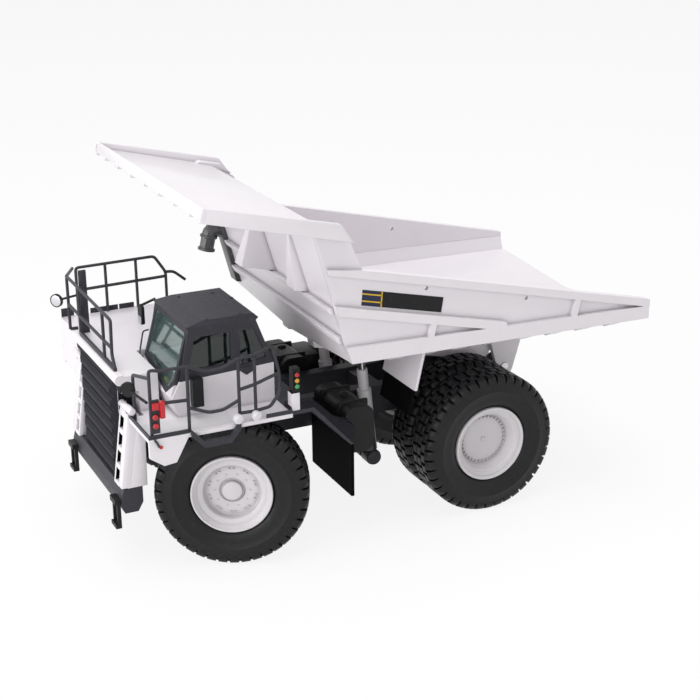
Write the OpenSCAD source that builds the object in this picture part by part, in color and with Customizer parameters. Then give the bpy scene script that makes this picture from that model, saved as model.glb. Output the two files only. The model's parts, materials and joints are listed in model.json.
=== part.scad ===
// Mining dump truck, a 1:50 scale model: rigid frame, steered front axle, twin rear wheels,
// cab on the left deck and a tipping bed with a canopy, raised by two telescopic hoists.
// Lengths run forward from the rear axle, +Y is left, heights are above the ground.

/* [Running gear] */
// Distance between the axles
wheelbase = 99; // [95:0.5:104]
// Tyre radius, out to the lug tips
tyre_r = 28.2; // [26.5:0.1:28.6]
// Tyre width
tyre_w = 15.6; // [14:0.1:16]
// Grooves round each shoulder of a tyre
groove_count = 40; // [32:1:44]
// Depth of the tyre grooves
groove_depth = 2.6; // [1.8:0.1:3]
// Width of the tyre grooves
groove_w = 1.2; // [1:0.1:2]
// Rim radius at its outer flange
rim_r = 15; // [13.5:0.1:16]
// Gap between twin tyres
dual_gap = 1.2; // [0.8:0.1:2]
// Outer face of the rear outer tyre, from the middle
rear_face_y = 51.6; // [51:0.1:53]
// Kingpin axis, from the middle
kingpin_y = 31; // [30.5:0.1:32]
// Front tyre's middle, outboard of the kingpin
front_offset = 12; // [11.8:0.1:13]
// Front wheels turned to the right, as shown
steer_rest = 24.6; // [0:0.1:28]
// Spindle radius
spindle_r = 2.5; // [2:0.1:3]
// Kingpin radius
kingpin_r = 1.8; // [1.4:0.1:2]
// Radial clearance of a turning fit
run_fit = 0.05; // [0.02:0.01:0.1]

/* [Frame] */
// Middle of a frame rail, from the middle of the truck
rail_y = 12; // [11.5:0.1:12.5]
// Width of a frame rail
rail_w = 5; // [4:0.1:5.4]
// Underside of the rails
rail_bottom = 34; // [34:0.1:36]
// Depth of the rails
rail_h = 11.5; // [10.5:0.1:11.6]
// Bed hinge, behind the rear axle
hinge_back = 26; // [25:0.5:28]
// Height of the bed hinge
hinge_z = 45; // [45:0.1:47]
// Hinge pin radius
hinge_pin_r = 1.6; // [1.2:0.1:2]

/* [Bed] */
// Angle that the bed is raised to, as shown
bed_tilt = 13.15; // [5:0.05:30]
// Half width of the bed over its ribs
bed_half_w = 58; // [56:0.5:59]
// Thickness of the bed's plates
bed_wall = 1.8; // [1.2:0.1:2.2]
// How far the ribs stand out of a side plate
rib_out = 1.8; // [1:0.1:2.4]
// Top rail of the bed, above the hinge
bed_rail_z = 42.8; // [41:0.1:44]
// Canopy top, above the hinge
canopy_z = 58.6; // [57:0.1:60]
// Canopy front edge, ahead of the hinge
canopy_x = 161; // [155:0.5:163]
// How far the canopy reaches past the bed's sides
canopy_over = 2; // [1:0.1:3]

/* [Hoist] */
// Lower pivot, ahead of the rear axle
hoist_x = 36; // [35:0.1:38]
// Height of the lower pivot
hoist_z = 18; // [17:0.1:20]
// Middle of a hoist, from the middle of the truck
hoist_y = 18.3; // [18:0.1:18.6]
// Barrel radius
barrel_r = 2.8; // [2.6:0.1:3]

/* [Front end and cab] */
// Grille face, ahead of the front axle
grille_x = 42; // [41:0.1:44]
// Hood top
hood_z = 72.5; // [72:0.1:75]
// Left deck, which the cab stands on
deck_left_z = 58.5; // [58:0.1:60]
// Right deck
deck_right_z = 70; // [68:0.1:71]
// Half width over the decks
deck_half_w = 55; // [54:0.1:56]
// Cab's left side
cab_left_y = 40; // [38:0.1:41]
// Cab's right side
cab_right_y = 4; // [3:0.1:5]
// Cab height above its deck
cab_h = 34.2; // [32:0.1:36]
// Thickness of the cab's panels
cab_wall = 1.2; // [1:0.1:1.6]

/* [Hidden] */
$fn = 48;
// Gaps of pieces that lie against each other, and of plates welded under others
joint_gap = 0.1;
weld_gap = 0.05;
axle_z = tyre_r;
front_x = wheelbase;
nose_x = front_x + grille_x;
hinge_x = -hinge_back;
rail_in = rail_y - rail_w / 2;
rail_out = rail_y + rail_w / 2;
rail_top = rail_bottom + rail_h;
rear_outer_y = rear_face_y - tyre_w / 2;
rear_inner_y = rear_outer_y - tyre_w - dual_gap;
rear_inner_face = rear_inner_y - tyre_w / 2;

// Bed corners ahead of and above the hinge, with the bed lowered
tail_low = [-33.2, 35.3];
tail_top = [-31.6, bed_rail_z];
floor_front = [93.1, 8.45];
gusset_rear = [95.9, bed_rail_z];
gusset_top = [103, canopy_z - 6];
canopy_rear_x = 109.5;
canopy_t = 2;
canopy_half_w = bed_half_w + canopy_over;
gusset_drop = 4;
skirt_h = 5.2;
rib_drop = 4;
wall_lean = 0.5287;
floor_slope = (floor_front[1] - tail_low[1]) / (floor_front[0] - tail_low[0]);
side_out = bed_half_w - rib_out;
side_in = side_out - bed_wall;
tail_lean = (tail_top[0] - tail_low[0]) / (tail_top[1] - tail_low[1]);
floor_t = 1.4;
floor_edge = 0.4;
floor_dip = 3.8;
fillet_h = 6;
fillet_w = 2.5;
wall_t = 2;
function tail_x(z) = tail_low[0] + (z - tail_low[1]) * tail_lean;
function wall_x(z) = floor_front[0] + (z - floor_front[1]) * wall_lean;
function floor_z(x) = floor_front[1] + (x - floor_front[0]) * floor_slope;
function floor_at(x, lift) = [x, floor_z(x) + lift];

// Underside of the floor at y, square to the sill's underside
function floor_under(y) = floor_edge - floor_dip * (1 - y / side_in) - floor_t;
wall_top_z = canopy_z - canopy_t - weld_gap;

// Hoist: upper pin ahead of and above the hinge, and the length from pin to pin as shown
hoist_pin = [70, 6];
hoist_top_x = hinge_x + hoist_pin[0] * cos(bed_tilt) - hoist_pin[1] * sin(bed_tilt);
hoist_top_z = hinge_z + hoist_pin[0] * sin(bed_tilt) + hoist_pin[1] * cos(bed_tilt);
hoist_len = norm([hoist_top_x - hoist_x, hoist_top_z - hoist_z]);
hoist_lean = atan2(hoist_top_x - hoist_x, hoist_top_z - hoist_z);

// Overall reach, which puts the origin under the middle of the box
step_reach = 4.5;
function raised_x(p) = hinge_x + p[0] * cos(bed_tilt) - p[1] * sin(bed_tilt);
rear_reach = min(raised_x(tail_low), raised_x(tail_top));
mid_x = (nose_x + step_reach + rear_reach) / 2;

white = "whitesmoke";
dark = "dimgray";
black = "black";
steel = "silver";

// Moves truck positions so that the origin is under the middle of the box
module placed() translate([-mid_x, 0, 0]) children();

// Bed pieces are drawn lowered, about the hinge, and then raised
module raised() placed() translate([hinge_x, 0, hinge_z]) rotate([0, -bed_tilt, 0]) children();

module both_sides() {
    children();
    mirror([0, 1, 0]) children();
}

module on_side(side) {
    if (side > 0) children();
    else mirror([0, 1, 0]) children();
}

// A side view outline, X and Z, as a slab from y0 to y1
module slab(y0, y1) translate([0, y1, 0]) rotate([90, 0, 0]) linear_extrude(y1 - y0) children();

// A front view outline, Y and Z, as a slab from x0 to x1
module across(x0, x1) translate([x0, 0, 0]) rotate([90, 0, 90]) linear_extrude(x1 - x0) children();

// A half section, radius and distance along the axis, turned about the Y axis
module turned() rotate([-90, 0, 0]) rotate_extrude() children();

// A box, and a rectangle, given by two corners
module block(a, b) translate(a) cube(b - a);
module area(a, b) translate(a) square(b - a);

// A rectangle with round corners
module round_area(a, b, r) {
    area(a + [r, 0], b - [r, 0]);
    area(a + [0, r], b - [0, r]);
    for (x = [a[0] + r, b[0] - r], y = [a[1] + r, b[1] - r]) translate([x, y]) circle(r = r);
}

// A straight bar between two points, lengthened by over at both ends
module bar(a, b, r, over = 0) {
    d = b - a;
    translate(a)
        rotate([0, acos(d[2] / norm(d)), atan2(d[1], d[0])])
            translate([0, 0, -over])
                cylinder(h = norm(d) + 2 * over, r = r, $fn = 8);
}

// A bent tube through points, every other length a touch thinner so that corners close cleanly
module tube(points, r) for (i = [0 : len(points) - 2])
    bar(points[i], points[i + 1], r - 0.03 * (i % 2), r * 0.4);

// Frame: rails, cross members, hoist trunnion and hinge pin
rail_front = nose_x - 8;
hinge_wall = 3;

module frame_rails() color(dark) placed() both_sides() slab(rail_in, rail_out) difference() {
    union() {
        polygon([[hinge_x - 4, hinge_z - 3], [hinge_x + 8, rail_bottom], [rail_front - 6, rail_bottom],
            [rail_front, rail_bottom + 5], [rail_front, rail_top], [hinge_x, rail_top]]);
        translate([hinge_x, hinge_z]) circle(r = hinge_pin_r + hinge_wall);
    }
    translate([hinge_x, hinge_z]) circle(r = hinge_pin_r + run_fit / 2);
}

// Cross members between the rails; the first and the last take the screws of a display base
cross_x = [-12, 30, 66];
cross_half = 3;
cross_bottom = rail_bottom + 4;
cross_top = rail_top - 1;
screw_r = 1.25;
screw_depth = 5;

module cross_members() color(dark) placed() difference() {
    for (x = cross_x) block([x - cross_half, -rail_in, cross_bottom], [x + cross_half, rail_in, cross_top]);
    for (x = [cross_x[0], cross_x[2]])
        translate([x, 0, cross_bottom - 1]) cylinder(r = screw_r, h = screw_depth + 1);
}

pivot_r = 2;
collar_r = 2.9;
collar_t = 0.7;
trunnion_r = 3;
barrel_eye_half = 2.5;

module hoist_trunnion() color(dark) placed() {
    seat_y = hoist_y + barrel_eye_half + joint_gap;
    both_sides() slab(rail_in + 0.5, rail_out - 0.5) union() {
        polygon([[hoist_x - trunnion_r, hoist_z], [hoist_x - 2 * trunnion_r, rail_bottom],
            [hoist_x + 8, rail_bottom], [hoist_x + trunnion_r, hoist_z]]);
        translate([hoist_x, hoist_z]) circle(r = trunnion_r);
    }
    translate([hoist_x, 0, hoist_z]) turned() {
        area([0, -seat_y - collar_t], [pivot_r, seat_y + collar_t]);
        for (y = [-seat_y - collar_t, seat_y]) area([0, y], [collar_r, y + collar_t]);
    }
}

ear_gap = 0.5;
ear_t = 2.3;

module hinge_pin() color(steel) placed() translate([hinge_x, 0, hinge_z]) turned() {
    reach = rail_out + ear_gap + ear_t + 0.4;
    area([0, -reach], [hinge_pin_r, reach]);
}

// Axles and knuckles
eye_r = 4;
eye_h = 6;
knuckle_h = 9.4;
spindle_end = 1.5;
rear_spindle_end = -2;

module front_axle() color(dark) placed() translate([front_x, 0, axle_z]) difference() {
    union() {
        block([-4, -kingpin_y + 8, -3.5], [4, kingpin_y - 8, rail_bottom - axle_z]);
        both_sides() {
            for (s = [-1, 1]) translate([0, kingpin_y, s * ((knuckle_h + eye_h) / 2 + joint_gap)]) {
                cylinder(r = eye_r, h = eye_h, center = true);
                translate([0, -3, 0]) cube([7, 6, eye_h], center = true);
            }
            block([-3.5, kingpin_y - 9, -knuckle_h / 2 - eye_h],
                [3.5, kingpin_y - 5.5, knuckle_h / 2 + eye_h]);
        }
    }
    both_sides() translate([0, kingpin_y, -tyre_r]) cylinder(r = kingpin_r + run_fit, h = 2 * tyre_r);
}

// Knuckle: kingpin, boss and the spindle turned with the wheel
module knuckle(side) placed() translate([front_x, side * kingpin_y, axle_z]) rotate([0, 0, -steer_rest]) {
    cylinder(r = kingpin_r, h = knuckle_h + 2 * eye_h, center = true);
    cylinder(r = eye_r - 0.4, h = knuckle_h - 0.2, center = true);
    on_side(side) turned() area([0, 0], [spindle_r, front_offset + spindle_end]);
}

module knuckle_left() color(steel) knuckle(1);
module knuckle_right() color(steel) knuckle(-1);

// Rear axle: differential, tubes, brake drums and spindles, with its seats and torque arm
housing_r = 9;
axle_tube_r = 5;
drum_r = 7;

module rear_axle() color(dark) placed() {
    drum_y = rear_inner_face - 1;
    translate([0, 0, axle_z]) turned() {
        spindle_y = rear_outer_y + rear_spindle_end;
        polygon([[0, -9], [axle_tube_r, -9], [housing_r, -5], [housing_r, 5], [axle_tube_r, 9], [0, 9]]);
        area([0, -drum_y], [axle_tube_r, drum_y]);
        area([0, -spindle_y], [spindle_r, spindle_y]);
        for (y = [-drum_y, drum_y - 2.5]) area([0, y], [drum_r, y + 2.5]);
    }
    both_sides() block([-4, rail_in, axle_z], [4, rail_out, rail_bottom]);
    slab(-5, 5) polygon([[6, axle_z - 4], [6, axle_z + 4], [27, rail_bottom + 4], [27, rail_bottom]]);
}

// Wheels: half sections of radius and distance from the tyre's middle, outside positive
bead_r = rim_r - 0.5;
seat_gap = 0.05;
bead_in = 2.2;
bead_half = tyre_w / 2 - bead_in;
wall_drop = 5.5;
center_rib = 1.2;
rim_outer = bead_r - seat_gap;
lip_y = bead_half + 1.4;

function tyre_flank(s) = [[bead_r, s * bead_half], [rim_r + seat_gap, s * bead_half],
    [rim_r + 1.5, s * (tyre_w / 2 - 0.8)], [tyre_r - wall_drop, s * tyre_w / 2],
    [tyre_r - 2.8, s * (tyre_w / 2 - 0.3)], [tyre_r - 1, s * (tyre_w / 2 - 1.2)],
    [tyre_r, s * (tyre_w / 2 - 3)]];

// Lugs: what the grooves leave standing, staggered on both sides of a rib
module tyre_grooves(side, shift) on_side(side) for (i = [0 : groove_count - 1])
    rotate([0, (i + shift) * 360 / groove_count, 0])
        translate([-groove_w / 2, center_rib, tyre_r - groove_depth])
            cube([groove_w, tyre_w, 2 * groove_depth]);

module tyre() difference() {
    turned() polygon(concat(tyre_flank(-1), [for (i = [len(tyre_flank(1)) - 1 : -1 : 0]) tyre_flank(1)[i]]));
    tyre_grooves(1, 0.5);
    tyre_grooves(-1, 0);
}

// Front rim: dished disc with a ring groove round its hub cap
disc_y = 3;
disc_r = 11;
disc_t = 1.6;
cap_r = 3.8;
ring_r = 4.8;
hub_r = 5.5;

module front_rim() turned() polygon([[spindle_r + run_fit, -disc_y], [spindle_r + run_fit, spindle_end + 0.3],
    [0, spindle_end + 0.3], [0, disc_y + 0.5], [cap_r - 0.6, disc_y + 0.5], [cap_r, disc_y],
    [cap_r, disc_y - 0.6], [ring_r, disc_y - 0.6], [ring_r, disc_y], [disc_r, disc_y],
    [disc_r + 1.2, lip_y - 1.6], [rim_outer - 1, lip_y - 1.2], [rim_r - 0.5, lip_y], [rim_r, lip_y],
    [rim_r, bead_half + seat_gap], [rim_outer, bead_half + seat_gap], [rim_outer, -bead_half],
    [rim_outer - 1.5, -bead_half], [disc_r + 1, disc_y - disc_t], [hub_r, disc_y - disc_t],
    [hub_r, -disc_y]]);

// Rear rim: one drum through both twin wheels, with a deep dish outside
dish_y = 1;
dish_r = 10;
step_r = 12.4;

module rear_rims() turned() {
    reach = rear_outer_y - rear_inner_y;
    polygon([[spindle_r + run_fit, -reach], [spindle_r + run_fit, rear_spindle_end + 0.3],
        [0, rear_spindle_end + 0.3], [0, dish_y + 0.4], [0.9, dish_y + 0.4], [0.9, dish_y], [dish_r, dish_y],
        [step_r, lip_y - 2.4], [step_r + 0.6, lip_y - 1.2], [rim_r - 0.8, lip_y], [rim_r, lip_y],
        [rim_r, bead_half + seat_gap], [rim_outer, bead_half + seat_gap], [rim_outer, -reach - bead_half],
        [rim_outer - 1.5, -reach - bead_half], [rim_outer - 1.5, -reach - 1], [drum_r, -reach - 1],
        [drum_r, -reach]]);
}

module front_wheel(side) placed() translate([front_x, side * kingpin_y, axle_z]) rotate([0, 0, -steer_rest])
    on_side(side) translate([0, front_offset, 0]) children();

module rear_wheel(side, y) placed() translate([0, side * y, axle_z]) on_side(side) children();

module tyres_rear(side) for (y = [rear_outer_y, rear_inner_y]) rear_wheel(side, y) tyre();

module tyre_front_left() color(black) front_wheel(1) tyre();
module tyre_front_right() color(black) front_wheel(-1) tyre();
module rim_front_left() color(white) front_wheel(1) front_rim();
module rim_front_right() color(white) front_wheel(-1) front_rim();
module tyres_rear_left() color(black) tyres_rear(1);
module tyres_rear_right() color(black) tyres_rear(-1);
module rims_rear_left() color(white) rear_wheel(1, rear_outer_y) rear_rims();
module rims_rear_right() color(white) rear_wheel(-1, rear_outer_y) rear_rims();

// Tanks, one on each side behind the front wheels
tank_x = 47.2;
tank_len = 12;
tank_z = 33;
tank_h = 18.2;
tank_round = 4;
tank_in = rail_out + 1.2;
fuel_tank_y = 44;
hydraulic_tank_y = 40;

module tank(y1) {
    slab(tank_in, y1) round_area([tank_x, tank_z], [tank_x + tank_len, tank_z + tank_h], tank_round);
    slab(rail_out, tank_in + 1) area([tank_x + 2, rail_bottom + 2], [tank_x + tank_len - 2, rail_top - 2]);
}

module fuel_tank() color(black) placed() tank(fuel_tank_y);
module hydraulic_tank() color(black) placed() mirror([0, 1, 0]) tank(hydraulic_tank_y);

// Front end
bay_y = 17;
deck_t = 1.5;
deck_rear = front_x - 14;
deck_front = nose_x - 2.5;
deck_under = deck_left_z - deck_t;
hood_half = 28;
hood_back_y = cab_right_y - 0.6;
hood_front_x = nose_x - 1.7;
cab_clear_x = front_x + 26.6;
column_in = 23;
column_out = 32;
column_x0 = nose_x - 8;
column_x1 = nose_x + 2;
column_top = 65;
column_lean = 4;
bumper_top = 31;
eye_lug_r = 1.2;

module engine_bay() color(dark) placed()
    block([front_x - 22, -bay_y, rail_top], [rail_front, bay_y, deck_under]);

// Hood: under the right deck's edge and round the front of the cab, with a rounded front lip
lip_r = 1.9;

module hood() color(white) placed() {
    top = hood_z;
    block([deck_rear, -hood_half, deck_under], [column_x0 - joint_gap, hood_back_y, top]);
    block([cab_clear_x, hood_back_y, deck_left_z], [column_x0 - joint_gap, hood_half, top]);
    block([column_x0 - joint_gap, -column_in + joint_gap, deck_under],
        [hood_front_x, column_in - joint_gap, top]);
    block([column_x0 - joint_gap, -hood_half, column_top + eye_lug_r + 0.1], [hood_front_x, hood_half, top]);
    slab(-hood_half, hood_half) {
        area([hood_front_x - 1, top - 2.8], [hood_front_x + 0.4, top + 0.6]);
        translate([hood_front_x + 0.4, top + 0.6 - lip_r]) circle(r = lip_r);
    }
}

// Grille: louvres on a plate, bevelled back to the ladder columns at both ends
louvres = 7;
grille_top = hood_z - 3.9;
grille_bottom = bumper_top + 0.1;
grille_plate = 1.1;
louvre_out = 0.9;

module grille() color(dark) placed() intersection() {
    pitch = (grille_top - grille_bottom - 1) / louvres;
    slab(-column_in, column_in) {
        area([hood_front_x + weld_gap, grille_bottom], [hood_front_x + grille_plate, grille_top]);
        for (i = [0 : louvres - 1]) translate([hood_front_x + grille_plate, grille_bottom + 0.5 + i * pitch])
            polygon([[-0.1, 0], [louvre_out, 0.6], [louvre_out, pitch * 0.45], [0.2, pitch * 0.8],
                [-0.1, pitch * 0.8]]);
    }
    translate([0, 0, grille_bottom - 1]) linear_extrude(grille_top - grille_bottom + 2)
        polygon([[hood_front_x, -column_in + 0.4], [hood_front_x, column_in - 0.4],
            [nose_x - 0.8, column_in - 2], [nose_x + 1, column_in - 6], [nose_x + 1, -column_in + 6],
            [nose_x - 0.8, -column_in + 2]]);
}

module bumper() color(dark) placed() slab(-column_out, column_out)
    polygon([[column_x0 + 2, bumper_top], [column_x0 + 2, 25], [nose_x - 4, 21.5], [nose_x + 1, 21.5],
        [nose_x + 2, 24], [nose_x + 2, 27], [nose_x + 1, bumper_top]]);

// Ladder columns: leaning front faces with toe holes, and a lifting eye on top
toe_holes = 4;
toe_pitch = 8.2;
toe_h = 4.4;
toe_in = 1.8;
toe_w = 3.4;
toe_depth = 3;

module ladder_columns() color(white) placed() both_sides() {
    difference() {
        slab(column_in, column_out)
            polygon([[column_x0, bumper_top], [column_x1, bumper_top], [column_x1 - column_lean, column_top],
                [column_x1 - column_lean - 2.5, column_top], [column_x0, column_top - 4]]);
        for (i = [0 : toe_holes - 1])
            translate([0, 0, bumper_top + 1.5 + i * toe_pitch])
                block([column_x1 - column_lean * (i + 1) / toe_holes - toe_depth, column_in + toe_in, 0],
                    [column_x1 + 1, column_in + toe_in + toe_w, toe_h]);
    }
    slab(column_in + 2, column_in + 4)
        translate([column_x1 - column_lean - eye_lug_r, column_top]) circle(r = eye_lug_r);
}

// Steps hung under the bumper
step_in = 25;
step_out = 31;
step_bottom = 15.5;

module ladder_steps() color(black) placed() both_sides() {
    for (y = [step_in, step_out - 1]) block([nose_x + 2.3, y, step_bottom], [nose_x + 3.7, y + 1, 27]);
    block([nose_x + 2.3, step_in, step_bottom], [nose_x + step_reach, step_out, step_bottom + 1.5]);
    block([nose_x + 2, step_in, 25], [nose_x + step_reach, step_out, 27]);
}

// Decks with the front fender panels under their outer edges
fender_t = 1.5;
fender_foot = 48;
deck_right_rear = front_x - 5.8;

module fender_panel(z) polygon([[deck_front, z], [front_x + 24.5, z], [front_x + 30, fender_foot + 0.5],
    [front_x + 34.5, fender_foot], [deck_front, fender_foot + 3.5]]);

module deck_left() color(white) placed() {
    block([deck_rear, bay_y, deck_under], [column_x0 - joint_gap, deck_half_w, deck_left_z]);
    block([column_x0 - joint_gap, column_out + joint_gap, deck_under],
        [deck_front, deck_half_w, deck_left_z]);
    slab(deck_half_w - fender_t, deck_half_w) fender_panel(deck_left_z);
}

module deck_right() color(white) placed() mirror([0, 1, 0]) {
    under = deck_right_z - deck_t;
    block([deck_right_rear, hood_half, under], [deck_front, deck_half_w, deck_right_z]);
    block([deck_right_rear, hood_half, deck_left_z], [deck_right_rear + fender_t, deck_half_w, under]);
    block([deck_front - fender_t, column_out + joint_gap, 52], [deck_front, deck_half_w, under]);
    slab(deck_half_w - fender_t, deck_half_w) {
        area([deck_right_rear, deck_left_z], [deck_front, under]);
        fender_panel(under);
    }
}

// Kerbs on the deck edges; the left one dips into a boarding step
kerb_t = 0.5;
step_t = 1.5;

module deck_kerbs() color(dark) placed() {
    top = deck_left_z + step_t;
    slab(deck_half_w, deck_half_w + step_t)
        polygon([[front_x + 24.5, top], [front_x + 20, deck_left_z - 3.6], [front_x + 10, deck_left_z - 3.6],
            [front_x + 6.2, top], [front_x + 6.2, deck_left_z - 1.6], [front_x + 10, deck_left_z - 6],
            [front_x + 20, deck_left_z - 6], [front_x + 24.5, deck_left_z - 1]]);
    slab(deck_half_w - kerb_t, deck_half_w) {
        area([front_x + 24.8, deck_left_z], [deck_front, top]);
        area([deck_rear, deck_left_z], [front_x - 4, top]);
    }
    block([deck_front - kerb_t, column_out + joint_gap, deck_left_z], [deck_front, deck_half_w, top]);
    slab(-deck_half_w, -deck_half_w + kerb_t) for (x = [front_x + 9, front_x + 15.8])
        area([x, deck_right_z], [x + (x > front_x + 12 ? 11.5 : 6.2), deck_right_z + 2]);
}

// Sloped plates behind the front wheels, with the mud flaps under them
flap_x = front_x - 39;
flap_top = 41;
flap_bottom = 20;
flap_in = bay_y + 0.5;
flap_out = deck_half_w - 2;
back_t = 1.2;

module fender_back(x1) slab(flap_in, flap_out)
    polygon([[flap_x, flap_top], [flap_x + back_t, flap_top], [front_x - 22.5, deck_under], [x1, deck_under],
        [x1, deck_left_z], [front_x - 23.2, deck_left_z]]);

module fender_backs() color(dark) placed() {
    fender_back(deck_rear);
    mirror([0, 1, 0]) fender_back(deck_rear);
}

module mud_flaps() color(black) placed() both_sides()
    block([flap_x, flap_in, flap_bottom], [flap_x + back_t, flap_out, flap_top]);

// Handrails of bent tube
rail_bar = 0.65;
mid_bar = 0.6;
post_bar = 0.55;
handrail_y = deck_half_w - 1.2;

function left_rail(points) = [for (p = points) [front_x + p[0], handrail_y, deck_left_z + p[1]]];
function right_rail(points) = [for (p = points) [front_x + p[0], -handrail_y, deck_right_z + p[1]]];
function front_rail(points) = [for (p = points) [nose_x - 1.5, p[0], hood_z + p[1]]];

module handrail_left() color(dark) placed() {
    tube(left_rail([[38, 0.3], [38, 25], [34, 24.1], [24.5, 24.1], [17, 21], [11.8, 21.2], [5.8, 23.8],
        [-0.3, 24.1], [-7.2, 26.5], [-9.6, 16], [-9.6, 8.5], [-6, 3.8], [-0.3, 3.2], [5.8, 3.4]]), rail_bar);
    tube(left_rail([[24.5, 9], [17, 5.8], [11.8, 5.8], [5.8, 8.4]]), mid_bar);
    tube(left_rail([[38, 12.6], [24.5, 11.8]]), mid_bar);
    tube(left_rail([[5.8, 12.2], [-0.3, 13.2], [-9.5, 15]]), mid_bar);
    for (x = [24.4, 5.7, -0.4]) tube(left_rail([[x, 0.3], [x, 23.6]]), post_bar);
    tube([[nose_x - 4, handrail_y, deck_left_z + 22], [nose_x - 4, column_out + 3, deck_left_z + 17],
        [nose_x - 4, column_out + 3, deck_left_z + 0.3]], post_bar);
}

module handrail_right() color(dark) placed() {
    tube(right_rail([[32.4, 0.3], [32.4, 20], [-0.4, 20.4], [-5, 13.2], [-5, 0.3]]), rail_bar);
    tube(right_rail([[32.4, 10.6], [-5, 11.4]]), mid_bar);
    tube(right_rail([[-5, 13.2], [-8.4, 12.9], [-13.3, 8.7]]), rail_bar);
    for (x = [20.3, 7.5]) tube(right_rail([[x, 0.3], [x, 20.2]]), post_bar);
}

// Front rail with a flat boarding post beside the right ladder
post_w = 3;
post_t = 1;
post_top = 25;

module handrail_front() color(dark) placed() {
    base = 0.9 + rail_bar;
    foot = deck_right_z + rail_bar + 0.1;
    tube(front_rail([[22.5, base], [-21.5, base]]), rail_bar);
    tube(front_rail([[22.5, base], [19.5, 6], [20.5, 19.2], [-37, 19.8], [-37, foot - hood_z]]), rail_bar);
    tube(front_rail([[19.7, 8.4], [-37, 8.4]]), mid_bar);
    for (y = [10, -21.3]) tube(front_rail([[y, base], [y, 19.4]]), post_bar);
    tube([[nose_x - 1.5, -37, foot], [deck_front - 2, -37, foot]], rail_bar);
    tube([[nose_x - 1.5, -37, hood_z + 19.8],
        [front_x + 32.4 + 2 * rail_bar, -handrail_y, deck_right_z + 20]], rail_bar);
    block([nose_x - 6, -25.6, hood_z], [nose_x - 6 + post_w, -25.6 + post_t, hood_z + post_top]);
    bar([nose_x - 1.5, -21.3, hood_z + 10], [nose_x - 3, -25.1, hood_z + 10], mid_bar);
}

// Cab: side view corners
cab_z = deck_left_z;
cab_top = cab_z + cab_h - 2.4;
cab_sill = cab_z + 13.2;
a_foot = [front_x + 23.5, cab_z];
a_nose = [front_x + 25.8, cab_z + 7];
a_belt = [front_x + 22.4, cab_sill];
a_top = [front_x + 18.6, cab_top];
c_top = [front_x - 7, cab_top];
c_belt = [front_x - 13.4, cab_sill + 1.6];
c_foot = [front_x - 13.4, cab_z];
cab_in_right = cab_right_y + cab_wall + joint_gap;
cab_in_left = cab_left_y - cab_wall - joint_gap;
pillar = 1.6;
glass_t = 0.4;

module cab_side_lower() polygon([c_foot, a_foot, a_nose, a_belt, c_belt]);

module door_window() polygon([[front_x + 3, cab_sill + 4], [front_x + 19.2, cab_sill + 3.8],
    [front_x + 16.4, cab_top - 3], [front_x + 3, cab_top - 3]]);

module quarter_window() polygon([[front_x - 0.5, cab_sill + 2.4], [front_x - 0.5, cab_top - 3],
    [front_x - 6.2, cab_top - 3], [front_x - 10.4, cab_sill + 4.2]]);

module cab_side_upper() difference() {
    polygon([c_belt, a_belt, a_top, c_top]);
    door_window();
    quarter_window();
}

// A wall seen edge on between two side view corners, thickness to the inside
module edge_wall(low, top, inward) polygon([low, top, top + [inward, 0], low + [inward, 0]]);

// The windscreen's lower edge is a V, lowest in front of the driver
v_low = [33, cab_z + 7.4];
v_right_z = cab_z + 12.6;
v_left_z = cab_z + 11.8;

module below_windscreen() across(front_x, nose_x)
    polygon([[cab_in_right, cab_z], [cab_in_left, cab_z], [cab_in_left, v_left_z], v_low,
        [cab_in_right, v_right_z]]);

module windscreen_cut() across(front_x + 10, front_x + 30)
    polygon([v_low + [0, pillar], [cab_in_left - pillar, v_left_z + pillar],
        [cab_in_left - pillar, cab_top - pillar], [cab_in_right + pillar, cab_top - pillar],
        [cab_in_right + pillar, v_right_z + pillar]]);

module rear_cut() block([front_x - 20, cab_in_right + pillar, cab_sill + 5],
    [front_x, cab_in_left - pillar, cab_top - 2]);

module front_plane() slab(cab_in_right, cab_in_left) edge_wall(a_nose, a_top, -cab_wall);

module cab_lower_panels() color(white) placed() {
    for (y = [cab_right_y, cab_left_y - cab_wall]) slab(y, y + cab_wall) cab_side_lower();
    slab(cab_in_right, cab_in_left) edge_wall(c_foot, c_belt, cab_wall);
    slab(cab_in_right, cab_in_left) edge_wall(a_foot, a_nose, -cab_wall);
    intersection() {
        front_plane();
        below_windscreen();
    }
}

module cab_window_frames() color(dark) placed() {
    for (y = [cab_right_y, cab_left_y - cab_wall]) slab(y, y + cab_wall) cab_side_upper();
    difference() {
        front_plane();
        below_windscreen();
        windscreen_cut();
    }
    difference() {
        slab(cab_in_right, cab_in_left) edge_wall(c_belt, c_top, cab_wall);
        rear_cut();
    }
}

roof_t = 2.4;
roof_round = 1.4;

module cab_roof() color(dark) placed() intersection() {
    slab(cab_right_y, cab_left_y)
        polygon([a_top, c_top, c_top + [-1, 1], c_top + [0.5, roof_t], a_top + [-6, roof_t],
            a_top + [0.8, 1]]);
    across(front_x - 20, front_x + 30)
        polygon([[cab_right_y, cab_top - 1], [cab_left_y, cab_top - 1], [cab_left_y, cab_top + 1],
            [cab_left_y - roof_round, cab_top + roof_t], [cab_right_y + roof_round, cab_top + roof_t],
            [cab_right_y, cab_top + 1]]);
}

module cab_floor() color(dark) placed() block([c_foot[0] + cab_wall, cab_right_y + cab_wall, cab_z],
    [a_foot[0] - cab_wall, cab_left_y - cab_wall, cab_z + 1]);

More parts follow.
